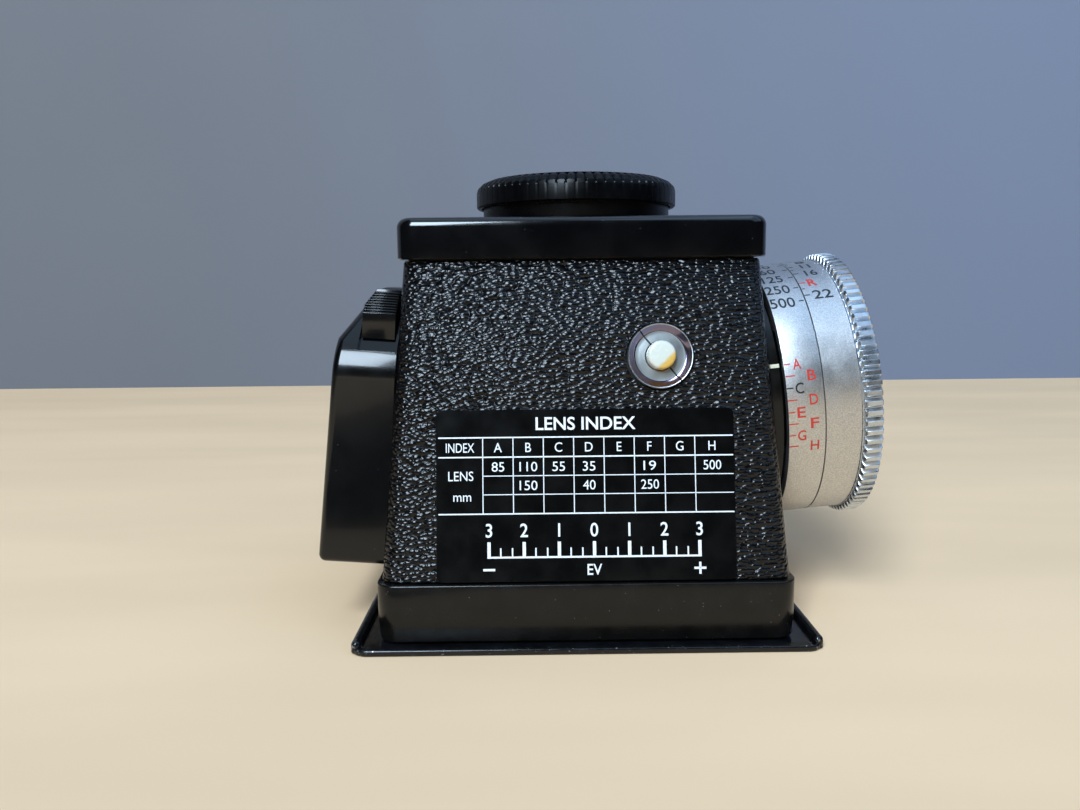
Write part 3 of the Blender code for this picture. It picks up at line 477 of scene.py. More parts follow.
def loft(name, loops, matrix, finish, ring=False, angle=35.0):
    """Skins a stack of loops; a ring joins the last loop back to the first, otherwise ends are capped."""
    bm = bmesh.new()
    rows = [[bm.verts.new(Vector(point) * MM) for point in loop] for loop in loops]
    pairs = list(zip(rows, rows[1:])) + ([(rows[-1], rows[0])] if ring else [])
    for low, high in pairs:
        for i in range(len(low)):
            j = (i + 1) % len(low)
            bm.faces.new((low[i], low[j], high[j], high[i]))
    if not ring:
        bm.faces.new(rows[0][::-1])
        bm.faces.new(rows[-1])
    return new_object(name, mesh_from(name, bm), matrix, finish, angle)


def prism(name, outline, low, high, plane, matrix):
    """An outline in two local axes, extruded along the third."""
    bm = bmesh.new()
    corners = []
    for first, second in outline:
        places = {"XY": (first, second, low), "XZ": (first, low, second), "YX": (second, first, low)}
        corners.append(bm.verts.new(Vector(places[plane]) * MM))
    face = bm.faces.new(corners)
    along = (0, high - low, 0) if plane == "XZ" else (0, 0, high - low)
    grown = bmesh.ops.extrude_face_region(bm, geom=[face])["geom"]
    grown_verts = [part for part in grown if isinstance(part, bmesh.types.BMVert)]
    bmesh.ops.translate(bm, verts=grown_verts, vec=Vector(along) * MM)
    return new_object(name, mesh_from(name, bm), matrix, "moulded")


def box(name, low, high, matrix):
    outline = [(low[0], low[1]), (high[0], low[1]), (high[0], high[1]), (low[0], high[1])]
    return prism(name, outline, low[2], high[2], "XY", matrix)


def carve(obj, other, operation="DIFFERENCE"):
    """Cuts other out of obj, or joins or intersects them, and removes other."""
    step = obj.modifiers.new("carve", "BOOLEAN")
    step.operation, step.solver, step.object = operation, "EXACT", other
    settle(obj)
    bpy.data.objects.remove(other)


def round_edges(obj, width, segments, angle, clamp=True):
    step = obj.modifiers.new("edges", "BEVEL")
    step.width, step.segments, step.use_clamp_overlap = width * MM, segments, clamp
    step.limit_method, step.angle_limit = "ANGLE", radians(angle)
    settle(obj)


def settle(obj):
    """Applies the modifiers of obj and sets its smooth and sharp edges again."""
    graph = bpy.context.evaluated_depsgraph_get()
    mesh = bpy.data.meshes.new_from_object(obj.evaluated_get(graph))
    obj.modifiers.clear()
    obj.data = mesh
    mesh.shade_smooth()
    mesh.set_sharp_from_angle(angle=radians(35.0))


def drill(obj, radius, high, low, matrix, sides=96):
    """Cuts a round hole between two heights on the frame's own axis."""
    carve(obj, turned("hole", [(0, high), (radius, high), (radius, low), (0, low)], matrix, "moulded", sides))


def slotted_screw(name, outline, corner, matrix, slot_low, slot_high, turn):
    profile = rounded(outline, corner, 2, closed=False)
    screw = turned(name + "_detail", profile, matrix, "steel", 40)
    carve(screw, box("slot", (-3, -0.2, slot_low), (3, 0.2, slot_high), matrix @ spun_round(turn)))
    piece(screw, "finder_body", "steel", name)


# ---------------------------------------------------------------- lettering and ticks
def glyphs(text, height, wide=None, bold=0.0):
    """Outline text as (verts, faces) in millimetres, centred, with capitals of that height."""
    curve = bpy.data.curves.new("glyphs", "FONT")
    curve.body = text
    curve.align_x = "CENTER"
    curve.size = 1.0
    curve.offset = bold
    curve.extrude = 0.01
    curve.resolution_u = 4
    obj = bpy.data.objects.new("glyphs", curve)
    bpy.context.scene.collection.objects.link(obj)
    graph = bpy.context.evaluated_depsgraph_get()
    mesh = bpy.data.meshes.new_from_object(obj.evaluated_get(graph))
    bm = bmesh.new()
    bm.from_mesh(mesh)
    cuts = ceil(height / 0.5)
    for cut in range(1, cuts):
        bmesh.ops.bisect_plane(bm, geom=bm.verts[:] + bm.edges[:] + bm.faces[:],
                               plane_co=(0, CAP_HEIGHT * cut / cuts, 0), plane_no=(0, 1, 0))
    bm.verts.index_update()
    scale = height / CAP_HEIGHT
    left, right = min(v.co.x for v in bm.verts), max(v.co.x for v in bm.verts)
    across = wide / (right - left) if wide else scale * 0.9
    verts = [((v.co.x - (left + right) / 2) * across, (v.co.y - CAP_HEIGHT / 2) * scale, v.co.z)
             for v in bm.verts]
    faces = [tuple(v.index for v in face.verts) for face in bm.faces]
    bm.free()
    bpy.data.objects.remove(obj)
    bpy.data.meshes.remove(mesh)
    return verts, faces


CAP_HEIGHT = 0.729              # of the built-in typeface at size 1
INK = 0.02                      # thickness of a printed mark


class Print:
    """Collects flat marks and lays them on a surface as one thin solid sheet of ink."""

    def __init__(self, name, lay):
        self.name, self.lay, self.bm = name, lay, bmesh.new()

    def add(self, verts, faces, x, y, turn=0.0):
        made = []
        for px, py, pz in verts:
            rx, ry = px * cos(turn) - py * sin(turn), px * sin(turn) + py * cos(turn)
            lift = INK if pz > 0 else -INK
            made.append(self.bm.verts.new(Vector(self.lay(x + rx, y + ry, lift)) * MM))
        for face in faces:
            try:
                self.bm.faces.new([made[i] for i in face])
            except ValueError:
                continue

    def text(self, text, x, y, height, wide=None, bold=0.0, turn=0.0):
        """Text centred on (x, y), stretched to that width in millimetres if one is given."""
        self.add(*glyphs(text, height, wide, bold), x, y, turn)

    def bar(self, x, y, wide, tall, turn=0.0):
        steps = max(1, ceil(max(wide, tall) / 1.5))
        along_x = wide >= tall
        verts, faces = [], []
        for step in range(steps + 1):
            t = step / steps - 0.5
            for side in (-0.5, 0.5):
                for z in (-1, 1):
                    px, py = (wide * t, tall * side) if along_x else (wide * side, tall * t)
                    verts.append((px, py, z))
        for step in range(steps):
            a, b = step * 4, step * 4 + 4
            for i, j in ((0, 1), (1, 3), (3, 2), (2, 0)):
                faces.append((a + i, a + j, b + j, b + i))
        faces += [(0, 1, 3, 2), tuple(steps * 4 + i for i in (0, 2, 3, 1))]
        self.add(verts, faces, x, y, turn)

    def lay_down(self, matrix, finish, body, slot):
        piece(new_object(self.name, mesh_from(self.name, self.bm), matrix, finish), body, slot)


# ---------------------------------------------------------------- base
BASE_SCREWS = {f"base_screw_{side}_{end}": at(x * BASE_SCREW_X, y * BASE_SCREW_Y, 0)
               for side, x in (("left", -1), ("right", 1)) for end, y in (("front", -1), ("back", 1))}


def make_base_plate():
    wide, deep, corner = PLATE_X / 2, PLATE_Y / 2, PLATE_CORNER
    opening = VIEW_OPENING / 2
    sheet = [loop_of(wide, deep, corner, z) for z in (0.0, PLATE_THICK)]
    plate = loft("base_plate_sheet", sheet, ROOT, "worn")
    carve(plate, loft("window", [loop_of(opening, opening, 2.0, z) for z in (-1, 3)], ROOT, "worn"))
    round_edges(plate, 0.28, 4, 30)
    lip = LIP_WIDTH / 2
    crown = LIP_TOP - lip
    steps = [(0.25, 0.0), (0.0, 0.25), (0.0, crown)]
    steps += [(lip * (1 - cos(a)), crown + lip * sin(a)) for a in (0.3, 0.6, 0.9, 1.2, 1.45)]
    for side in (-1, 1):
        loops = [loop_of(lip - drawn, deep - 0.9 - drawn, lip - drawn, z, 6) for drawn, z in steps]
        carve(plate, loft("rail", loops, ROOT @ moved(side * (wide - lip), 0, 0), "worn"), "UNION")
    for spot in BASE_SCREWS.values():
        sink = turned("sink", [(0, 1.2), (1.0, 1.2), (1.95, -0.1), (0, -0.1)], spot, "worn", 32)
        carve(plate, sink)
    piece(plate, "finder_body", "black_satin", "base_plate")


def make_collar():
    """The frame on the base plate, tucked in a little below its band."""
    wide, deep, hole = COLLAR_X / 2, COLLAR_Y / 2, COLLAR_OPENING / 2
    tuck = COLLAR_TUCK / (COLLAR_BAND - COLLAR_BOTTOM)
    loops = []
    for inset, z in ((0.35, COLLAR_BOTTOM), (0.0, COLLAR_BOTTOM + 0.35), (0.0, COLLAR_BAND - 0.1),
                     (0.0, COLLAR_BAND - 0.02), (0.0, COLLAR_TOP - 0.22), (0.06, COLLAR_TOP - 0.07),
                     (0.22, COLLAR_TOP)):
        drawn = inset + (0.04 + tuck * (COLLAR_BAND - z) if z < COLLAR_BAND - 0.05 else 0)
        loops.append(loop_of(wide - drawn, deep - drawn, COLLAR_CORNER - inset, z))
    for flare, z in ((0.3, COLLAR_TOP), (0.0, COLLAR_TOP - 0.3), (0.0, COLLAR_BOTTOM + 0.3),
                     (0.3, COLLAR_BOTTOM)):
        loops.append(loop_of(hole + flare, hole + flare, 2.0, z))
    collar = loft("base_collar_frame", loops, ROOT, "satin", ring=True, angle=60)
    piece(collar, "finder_body", "black_satin", "base_collar")


def make_base_screws():
    outline = [(0, 6.4), (0.75, 6.4), (0.75, 0.95), (1.45, 0.2), (1.4, 0.1), (0, 0.1)]
    for index, (name, spot) in enumerate(BASE_SCREWS.items()):
        slotted_screw(name, outline, 0.06, spot, -1, 0.5, 0.6 + 1.1 * index)


# ---------------------------------------------------------------- body
def make_body():
    outer = [(0.25, BODY_LOW + 0.15), (0.0, BODY_LOW + 0.45), (0.0, (BODY_LOW + BODY_HIGH) / 2),
             (0.0, BODY_HIGH - 0.3), (0.2, BODY_HIGH)]
    inner = [(SKIN_THICK, BODY_HIGH), (SKIN_THICK, BODY_LOW + 0.15)]
    loops = [body_loop(z, inset, BODY_CORNER - inset, 6) for inset, z in outer + inner]
    skin = loft("leatherette_wrap", loops, ROOT, "leather", ring=True)
    drill(skin, NUT_R + GAP, 3, -0.9, BUTTON)
    drill(skin, 8.0, 3, -4, DIAL, 48)
    piece(skin, "finder_body", "leatherette", "leatherette_cover")


# ---------------------------------------------------------------- cover
def make_cover():
    wide, deep = COVER_HALF_X, COVER_HALF_Y
    loops = [loop_of(wide - 0.2, deep - 0.2, COVER_CORNER - 0.2, COVER_LOW),
             loop_of(wide, deep, COVER_CORNER, COVER_LOW + 0.2)]
    for angle in [pi / 2 * step / 8 for step in range(9)]:
        drawn = COVER_EDGE * (1 - cos(angle))
        z = COVER_TOP - COVER_EDGE + COVER_EDGE * sin(angle)
        loops.append(loop_of(wide - drawn, deep - drawn, max(COVER_CORNER - drawn, 1.4), z))
    for drawn in [COVER_EDGE + 1.2 * step for step in range(1, 4)]:
        loops.append(loop_of(wide - drawn, deep - drawn, 1.4, COVER_TOP))
    cover = loft("top_cover_shell", loops, ROOT, "gloss", angle=50)
    inside = [loop_of(wide - COVER_WALL, deep - COVER_WALL, COVER_CORNER - COVER_WALL, z)
              for z in (COVER_LOW - 2, COVER_TOP - COVER_ROOF)]
    carve(cover, loft("inside", inside, ROOT, "gloss"))
    drill(cover, NECK_STEM_R + GAP, 70, 60, ROOT, 128)
    piece(cover, "finder_body", "black_gloss", "top_cover")


# ---------------------------------------------------------------- eyepiece
TOOTH_COUNT, TOOTH_START, TOOTH_DEEP = 70, RING_TOP - 2.1, 0.9
CROWN_R, SHOULDER_R = 15.2, 16.5        # where the ring's flat top ends and where it turns steeper


def serrations(radius, height, angle):
    """Pointed cuts between the eyepiece ring's teeth, deepest at its top."""
    if radius < CROWN_R - 0.05 or height < TOOTH_START:
        return 0.0
    off = abs((angle * TOOTH_COUNT / (2 * pi) + 0.5) % 1 - 0.5) * 2 * pi * RING_R / TOOTH_COUNT
    deep = TOOTH_DEEP * (height - TOOTH_START) / (RING_TOP - TOOTH_START)
    return max(0.0, deep * min(1.0, (radius - CROWN_R + 0.1) / 0.4) - off * 1.6)


def make_eyepiece():
    seat = COVER_TOP + 0.2
    neck = rounded([(NECK_BORE, NECK_TOP), (NECK_R, NECK_TOP), (NECK_R, seat), (NECK_STEM_R, seat),
                    (NECK_STEM_R, NECK_LOW), (NECK_BORE, NECK_LOW)], 0.22)
    neck_tube = turned("eyepiece_neck_tube", neck, ROOT, "anodised", 160)
    piece(neck_tube, "finder_body", "black_satin", "eyepiece_neck")

    skirt, web = NECK_R + 0.35, NECK_TOP + 0.8
    outline = [(RING_OPENING, RING_TOP - 0.35), (RING_OPENING + 0.5, RING_TOP), (CROWN_R, RING_TOP)]
    outline += [(CROWN_R + (SHOULDER_R - CROWN_R) * t, RING_TOP - 0.55 * t) for t in (0.35, 0.7, 1.0)]
    outline += [(SHOULDER_R + 0.75 * t, RING_TOP - 0.55 - 0.75 * t) for t in (0.25, 0.5, 0.75, 1.0)]
    outline += [(SHOULDER_R + 0.75 + 0.2 * t, RING_TOP - 1.3 - 0.7 * t) for t in (0.25, 0.5, 0.75, 1.0)]
    outline += [(RING_R, RING_LOW + 0.25), (RING_R - 0.25, RING_LOW), (skirt + 0.1, RING_LOW),
                (skirt, RING_LOW + 0.1), (skirt, web), (RING_OPENING, web)]
    ring = turned("eyepiece_ring_serrated", outline, ROOT, "anodised", TOOTH_COUNT * 8, serrations)
    piece(ring, "eyepiece_ring", "black_satin", "eyepiece_ring")


def make_optics():
    radii = [LENS_R * i / 10 for i in range(11)]
    for name, (edge_low, edge_high, belly_low, belly_high) in LENSES.items():
        upper = [(r, belly_high - (belly_high - edge_high) * (r / LENS_R) ** 2) for r in radii]
        lower = [(r, belly_low + (edge_low - belly_low) * (r / LENS_R) ** 2) for r in radii]
        lens = turned(name + "_polished", upper + lower[::-1], ROOT, "glass")
        piece(lens, "lens_cell", "glass", name)
    low, high, bore = RETAINER_LOW, RETAINER_HIGH, RETAINER_BORE
    ring = rounded([(bore, high), (LENS_R, high), (LENS_R, low), (bore, low)], 0.15)
    retainer = turned("lens_retainer_ring", ring, ROOT, "satin")
    for turn in (0.0, pi / 2):
        carve(retainer, box("spanner", (-13, -0.5, high - 0.5), (13, 0.5, 70), ROOT @ spun_round(turn)))
    piece(retainer, "lens_cell", "brass", "lens_retainer")


# ---------------------------------------------------------------- test button
NUT_DISH_R, NUT_FLANGE_R = 3.85, 4.8    # the spun dish ends and the bright rim begins
COIL_R, WIRE_R, COIL_TURNS, COIL_STEPS, WIRE_SIDES = 1.6, 0.17, 4, 24, 10
CAP_DRAW = 0.22                         # how much narrower the cap is than its hole


def make_nut():
    rim = NUT_RIM
    mouth = BUTTON_R - CAP_DRAW + 0.14
    profile = [(mouth, 0.36), (mouth + 0.06, 0.41), (3.3, 0.38), (NUT_DISH_R, 0.34), (4.0, 0.37),
               (4.3, 0.52), (4.6, 0.72), (4.82, rim - 0.03), (4.87, rim), (NUT_R - 0.05, rim),
               (NUT_R, rim - 0.06), (NUT_R, -0.4), (NUT_BORE, -0.4), (NUT_BORE, 0.05), (mouth, 0.05)]
    nut = turned("ring_nut_polished", profile, BUTTON, ("spun", "polished", "bright", "lining_and_shade"), 128)
    turn = spun_round(SLOT_ANGLE)
    half_slot = 0.12
    carve(nut, box("slot", (-7, -half_slot, 0.18), (7, half_slot, 3), BUTTON @ turn))
    for face in nut.data.polygons:
        middle = face.center / MM
        reach, aside = Vector(middle[:2]).length, abs((turn.inverted() @ middle).y)
        # The slot's walls take the matt black lining: painted shade inside the slot.
        if aside < half_slot + 0.005:
            face.material_index = 3
        else:
            face.material_index = (reach > NUT_DISH_R) + (reach > NUT_FLANGE_R)
    piece(nut, "finder_body", "polished_metal", "ring_nut")


def make_button():
    cap_r, skirt = BUTTON_R - CAP_DRAW, -2.4
    profile = [(0, BUTTON_TOP), (0.8, BUTTON_TOP - 0.01)]
    profile += [(cap_r - 0.5 + 0.5 * sin(a), BUTTON_TOP - 0.55 + 0.5 * cos(a))
                for a in [radians(step * 15) for step in range(7)]]
    profile += [(cap_r, skirt), (BUTTON_STEM_R, skirt), (BUTTON_STEM_R, -5.2), (0, -5.2)]
    cap = turned("push_button_cap", profile, BUTTON, "ivory")
    piece(cap, "push_button", "white_plastic", "push_button")

    steps = COIL_TURNS * COIL_STEPS
    loops = []
    for t in [step / steps for step in range(steps + 1)]:
        out = Vector((cos(2 * pi * COIL_TURNS * t), sin(2 * pi * COIL_TURNS * t), 0))
        middle = out * COIL_R + Vector((0, 0, COIL_LOW + (COIL_HIGH - COIL_LOW) * t))
        loops.append([middle + (out * cos(a) + Vector((0, 0, sin(a)))) * WIRE_R
                      for a in [2 * pi * side / WIRE_SIDES for side in range(WIRE_SIDES)]])
    spring = loft("button_spring_coil", loops, BUTTON, "steel")
    piece(spring, "finder_body", "steel", "button_spring")
    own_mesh(spring)


# ---------------------------------------------------------------- index plate
TABLE_LEFT, TABLE_RIGHT, FIRST_COLUMN, COLUMN_STEP = -22.3, 22.45, -15.56, 4.603
TABLE_ROWS = (22.07, 19.10, 16.25, 13.43, 10.53)    # heights of the table's rules
TABLE_TEXT = 1.5                                    # height of its capitals
SCALE_X, SCALE_STEP, SCALE_Y = 1.2, 5.3, 4.0
PLATE_THIN = 0.5


def make_index_plate():
    low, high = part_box("index_plate")
    half_wide = (high.x - low.x) / 2 / MM
    middle, half_tall = (PLATE_LOW + PLATE_HIGH) / 2, (PLATE_HIGH - PLATE_LOW) / 2
    loops = [loop_of(half_wide - drawn, half_tall - drawn, corner, z)
             for drawn, corner, z in ((0.05, 0.9, 0.1), (0, 0.95, 0.16), (0, 0.95, PLATE_THIN - 0.07),
                                      (0.07, 0.88, PLATE_THIN))]
    plate = loft("index_plate_sheet", loops, FRONT @ moved(0, middle, 0), ("sheet", "bare"), angle=30)
    for face in plate.data.polygons:
        face.material_index = 1 if abs(face.normal.z) < 0.3 else 0
    piece(plate, "finder_body", "black_gloss", "index_plate")

    ink = Print("index_plate_print", lambda x, y, lift: (x, y, PLATE_THIN + max(lift, -0.005)))
    draw_index_table(ink)
    draw_exposure_scale(ink)
    ink.lay_down(FRONT, "white_ink", "finder_body", "white_plastic")


def draw_index_table(ink):
    rows, right = TABLE_ROWS, TABLE_RIGHT
    columns = [FIRST_COLUMN + COLUMN_STEP * i for i in range(8)]
    for index, y in enumerate(rows):
        full = index in (0, 1, 4)
        start = TABLE_LEFT if full else columns[0]
        ink.bar((start + right) / 2, y, right - start, 0.2 if full else 0.13)
    for x in columns:
        ink.bar(x, (rows[0] + rows[-1]) / 2, 0.14, rows[0] - rows[-1])
    middles = [x + COLUMN_STEP / 2 for x in columns[:-1]] + [columns[-1] + 2.6]
    cells = [(high + low) / 2 for high, low in zip(rows, rows[1:])]
    ink.text("LENS INDEX", 0.1, (PLATE_HIGH + rows[0]) / 2, 2.0, 15.2, 0.014)
    for word, x, y, wide in (("INDEX", -19.0, cells[0], 4.3), ("LENS", -18.9, 16.3, 3.8),
                             ("mm", -18.7, 13.2, 2.7)):
        ink.text(word, x, y, TABLE_TEXT, wide)
    for letter, x in zip("ABCDEFGH", middles):
        ink.text(letter, x, cells[0], TABLE_TEXT)
    for row, values in ((1, {0: "85", 1: "110", 2: "55", 3: "35", 5: "19", 7: "500"}),
                        (2, {1: "150", 3: "40", 5: "250"})):
        for column, value in values.items():
            ink.text(value, middles[column], cells[row], TABLE_TEXT, 0.3 + 0.8 * len(value))


def draw_exposure_scale(ink):
    for stop in range(-3, 4):
        x = SCALE_X + stop * SCALE_STEP
        ink.text(str(abs(stop)), x, 8.1, 2.1, None, 0.01)
        ink.bar(x, SCALE_Y + 1.2, 0.5, 2.2)
        for third in (1, 2):
            if stop < 3:
                ink.bar(x + SCALE_STEP * third / 3, SCALE_Y + 0.75, 0.22, 1.3)
    ink.bar(SCALE_X, SCALE_Y, 6 * SCALE_STEP + 0.5, 0.28)
    sign_y, sign, stroke = 2.15, 1.8, 0.34
    ink.bar(SCALE_X - 3 * SCALE_STEP, sign_y, sign, stroke)
    ink.bar(SCALE_X + 3 * SCALE_STEP, sign_y, sign, stroke)
    ink.bar(SCALE_X + 3 * SCALE_STEP, sign_y, stroke, sign)
    ink.text("EV", SCALE_X, sign_y, 1.7, None, 0.008)


# ---------------------------------------------------------------- dial
def on_drum(radius):
    """Lays (distance out along the axis, distance down round the front) on a drum of that radius."""
    def lay(x, y, lift):
        angle = -pi / 2 - y / radius
        reach = radius + lift
        return reach * cos(angle), reach * sin(angle), x
    return lay


def down(degrees):
    """Arc length on the drum for an angle below its front line; marks are laid upright with -y down."""
    return radians(degrees) * DRUM_R


SEAM = (SPEED_TOP + APERTURE_LOW) / 2
DRUM_WALL_R = DRUM_R - 1.35
FIRST_LETTER, LETTER_STEP = -17.25, 4.96    # degrees below the drum's front line; negative is above it
FIRST_SPEED, FIRST_APERTURE, STOP_STEP = -46.1, -49.0, 8.4
SPEEDS = ("500", "250", "125", "60", "30", "15", "8", "4", "2", "1")
APERTURES = ("22", "16", "11", "8", "5.6", "4", "2.8", "2")
FILM_SPEEDS = ("12", "25", "50", "100", "200", "400", "800", "1600", "3200")
RIDGE_COUNT, RIDGE_DEEP, RIDGE_START = 90, 0.92, 14.1
DISC_LOW, DISC_FACE, DISC_RIM = 14.5, 16.0, 16.8


def width_of(value, digit):
    """The width a number is set to; one with a 1 in it keeps the typeface's own."""
    return None if "1" in value else 0.1 + digit * len(value.replace(".", ""))


def make_hub():
    bore = SHAFT_R + 0.15
    profile = [(bore, POST_TOP), (POST_R, POST_TOP), (POST_R, HUB_TOP), (HUB_R - 0.2, HUB_TOP),
               (HUB_R, HUB_TOP - 0.2), (HUB_R, -3), (bore, -3)]
    hub = turned("dial_hub_base", profile, DIAL, "satin", 160)
    seat = [body_loop(z, -0.2) for z in (BODY_LOW - 2, BODY_HIGH + 2)]
    carve(hub, loft("hub_seat", seat, ROOT, "satin"))
    piece(hub, "finder_body", "black_satin", "dial_hub")
    mark = Print("dial_index_mark", on_drum(HUB_R))
    mark.bar(1.3, -radians(FIRST_LETTER - 0.35) * HUB_R, 1.4, 0.6)
    mark.lay_down(DIAL, "cream_ink", "finder_body", "white_plastic")


def make_speed_ring():
    edge, inner = SEAM - 0.06, POST_R + 0.3
    ring = rounded([(inner, edge), (DRUM_R, edge), (DRUM_R, SPEED_LOW), (DRUM_WALL_R, SPEED_LOW),
                    (DRUM_WALL_R, SPEED_TOP - 1.2), (inner, SPEED_TOP - 1.2)], 0.07, 3)
    drum = turned("speed_ring_drum", ring, DIAL, "blasted", 200)
    piece(drum, "speed_ring", "satin_metal", "speed_ring")

    red = Print("speed_ring_red_marks", on_drum(DRUM_R))
    black = Print("speed_ring_black_marks", on_drum(DRUM_R))
    for index, letter in enumerate("ABCDEFGH"):
        y = -down(FIRST_LETTER + LETTER_STEP * index)
        ink = black if letter == "C" else red
        length, x = (1.5, 6.5) if index % 2 else (1.0, 4.45)
        ink.bar(SPEED_LOW + 0.05 + length / 2, y, length, 0.2)
        ink.text(letter, x, y - 0.05, 1.75, 1.32, 0.012)
    for index, value in enumerate(SPEEDS):
        y = -down(FIRST_SPEED - STOP_STEP * index)
        black.text(value, 4.5, y, 2.2, width_of(value, 1.3), 0.008)
        black.bar(SPEED_TOP - 0.55, y, 0.8, 0.2)
    red.lay_down(DIAL, "red_ink", "speed_ring", "satin_metal")
    black.lay_down(DIAL, "black_ink", "speed_ring", "satin_metal")


def knurl(radius, height, angle):
    """Grooves between the ridges of the aperture ring's flange."""
    if radius < DRUM_R + 0.11 or height < RIDGE_START + 0.05:
        return 0.0
    off = abs((angle * RIDGE_COUNT / (2 * pi) + 0.5) % 1 - 0.5) * 2
    groove = RIDGE_DEEP * min(1.0, max(0.0, (off - 0.44) / 0.48))
    return min(groove, radius - DRUM_R - 0.11)


def make_aperture_ring():
    web_low, web_top, recess, bore = 12.8, 14.2, 19.6, SHAFT_R + 0.2
    top, start, step_r = APERTURE_TOP, RIDGE_START, DRUM_R + 0.12
    outline = [(recess, top - 0.25), (recess + 0.25, top), (FLANGE_R - 0.5, top)]
    outline += [(FLANGE_R - 0.5 + 0.5 * sin(a), top - 0.4 + 0.4 * cos(a))
                for a in [radians(18 * step) for step in range(1, 6)]]
    outline += [(FLANGE_R, top - 1.2), (FLANGE_R, start + 0.5), (FLANGE_R - 0.08, start + 0.36),
                (FLANGE_R - 0.3, start + 0.2), (DRUM_R + 0.45, start + 0.12), (step_r, start + 0.08)]
    outline += [(step_r, start), (step_r, start - 0.1), (DRUM_R, start - 0.2)]
    outline += [(DRUM_R, SEAM + 0.12), (DRUM_R - 0.06, SEAM + 0.06), (DRUM_WALL_R, SEAM + 0.06),
                (DRUM_WALL_R, web_low), (bore, web_low), (bore, web_top), (recess, web_top)]
    within = (-0.5, -0.47, -0.28, -0.235, -0.2, 0.2, 0.235, 0.28, 0.47)
    around = [2 * pi * (ridge + part) / RIDGE_COUNT for ridge in range(RIDGE_COUNT) for part in within]
    ring = turned("aperture_ring_knurled", outline, DIAL, ("blasted", "bright"), around, knurl, 28)
    for face in ring.data.polygons:
        middle = face.center / MM
        if Vector(middle[:2]).length > DRUM_R + 0.01 and middle.z > start - 0.25:
            face.material_index = 1
    piece(ring, "aperture_ring", "satin_metal", "aperture_ring")

    black = Print("aperture_ring_black_marks", on_drum(DRUM_R))
    red = Print("aperture_ring_red_marks", on_drum(DRUM_R))
    for index, value in enumerate(APERTURES):
        y = -down(FIRST_APERTURE - STOP_STEP * (index + (index > 0)))
        black.text(value, 11.3, y, 2.05, width_of(value, 1.5), 0.012)
        black.bar(SEAM + 0.6, y, 0.9, 0.2)
        if index < len(APERTURES) - 1:
            black.bar(SEAM + 0.4, y + down(STOP_STEP / 2), 0.5, 0.16)
    y = -down(FIRST_APERTURE - STOP_STEP)
    red.bar(SEAM + 0.7, y, 1.0, 0.2)
    red.text("R", 10.5, y, 1.9, 1.5, 0.03)
    black.lay_down(DIAL, "black_ink", "aperture_ring", "satin_metal")
    red.lay_down(DIAL, "red_ink", "aperture_ring", "satin_metal")


def fine_knurl(radius, height, angle):
    if radius < 17.75 or height < DISC_FACE:
        return 0.0
    return 0.12 * (0.5 + 0.5 * cos(angle * 120)) * min(1.0, (height - DISC_FACE) / 0.3)


def make_film_disc():
    outline = rounded([(4.2, DISC_FACE), (17.3, DISC_FACE), (17.6, DISC_RIM), (19.2, DISC_RIM),
                       (19.2, DISC_LOW), (4.2, DISC_LOW)], 0.15, 3)
    disc = turned("film_speed_disc_face", outline, DIAL, "spun", 720, fine_knurl)
    piece(disc, "film_speed_disc", "satin_metal", "film_speed_disc")
    ink = Print("film_speed_numbers", lambda x, y, lift: (x, y, DISC_FACE + max(lift, -0.005)))
    for index, value in enumerate(FILM_SPEEDS):
        angle = radians(-90 + (index - 4) * 30)
        ink.text(value, 13.2 * cos(angle), 13.2 * sin(angle), 1.9, None, 0.012, angle + pi / 2)
        ink.bar(15.6 * cos(angle), 15.6 * sin(angle), 1.1, 0.2, angle)
        for third in (1, 2):
            if index < len(FILM_SPEEDS) - 1:
                part = angle + radians(10 * third)
                ink.bar(15.8 * cos(part), 15.8 * sin(part), 0.7, 0.14, part)
    ink.lay_down(DIAL, "black_ink", "film_speed_disc", "satin_metal")

    top, shank_r, head_r = APERTURE_TOP, 3.9, 6.2
    head = rounded([(0, top), (head_r - 0.3, top), (head_r, top - 0.2), (head_r, top - 0.8),
                    (shank_r, top - 0.8), (shank_r, DISC_LOW), (0, DISC_LOW)], 0.12, 3, closed=False)
    screw = turned("dial_screw_head", head, DIAL, "spun")
    carve(screw, box("slot", (-7, -0.5, top - 0.4), (7, 0.5, 18), DIAL @ spun_round(0.5)))
    piece(screw, "aperture_ring", "polished_metal", "dial_screw")


# ---------------------------------------------------------------- meter housing
def side_outline(inset, low_w):
    slope = (HOUSING_OUT_SHOULDER - HOUSING_OUT_TOP) / (HOUSING_TALL - SHOULDER_U)
    step = inset * (sqrt(1 + slope ** 2) - slope) * 0.5
    return [(inset, low_w), (inset, HOUSING_OUT_LOW - inset),
            (SHOULDER_U - step, HOUSING_OUT_SHOULDER - inset),
            (HOUSING_TALL - inset, HOUSING_OUT_TOP + inset * slope - inset * sqrt(1 + slope ** 2)),
            (HOUSING_TALL - inset, low_w)]


def front_outline(inset, bend=0.0):
    """The housing from the side; its fold at the front is a bend that starts that far from the corner."""
    low_v, high_v = HOUSING_FRONT + inset, HOUSING_BACK - inset
    step = inset * (sqrt(2) - 1)
    side, slant = FOLD_U - step, bend / sqrt(2)
    fold = [(low_v + slant * t * t, side - bend * (1 - t) ** 2 + slant * t * t)
            for t in ([part / 8 for part in range(9)] if bend else [0])]
    top_v = HOUSING_FRONT + (HOUSING_TALL - FOLD_U) + step
    back_v = HOUSING_BACK - BACK_CHAMFER - step
    return ([(low_v, inset)] + fold + [(top_v, HOUSING_TALL - inset), (back_v, HOUSING_TALL - inset)]
            + [(high_v, HOUSING_TALL - BACK_CHAMFER - step), (high_v, inset)])


def slope_u(v):
    return FOLD_U + (v - HOUSING_FRONT)


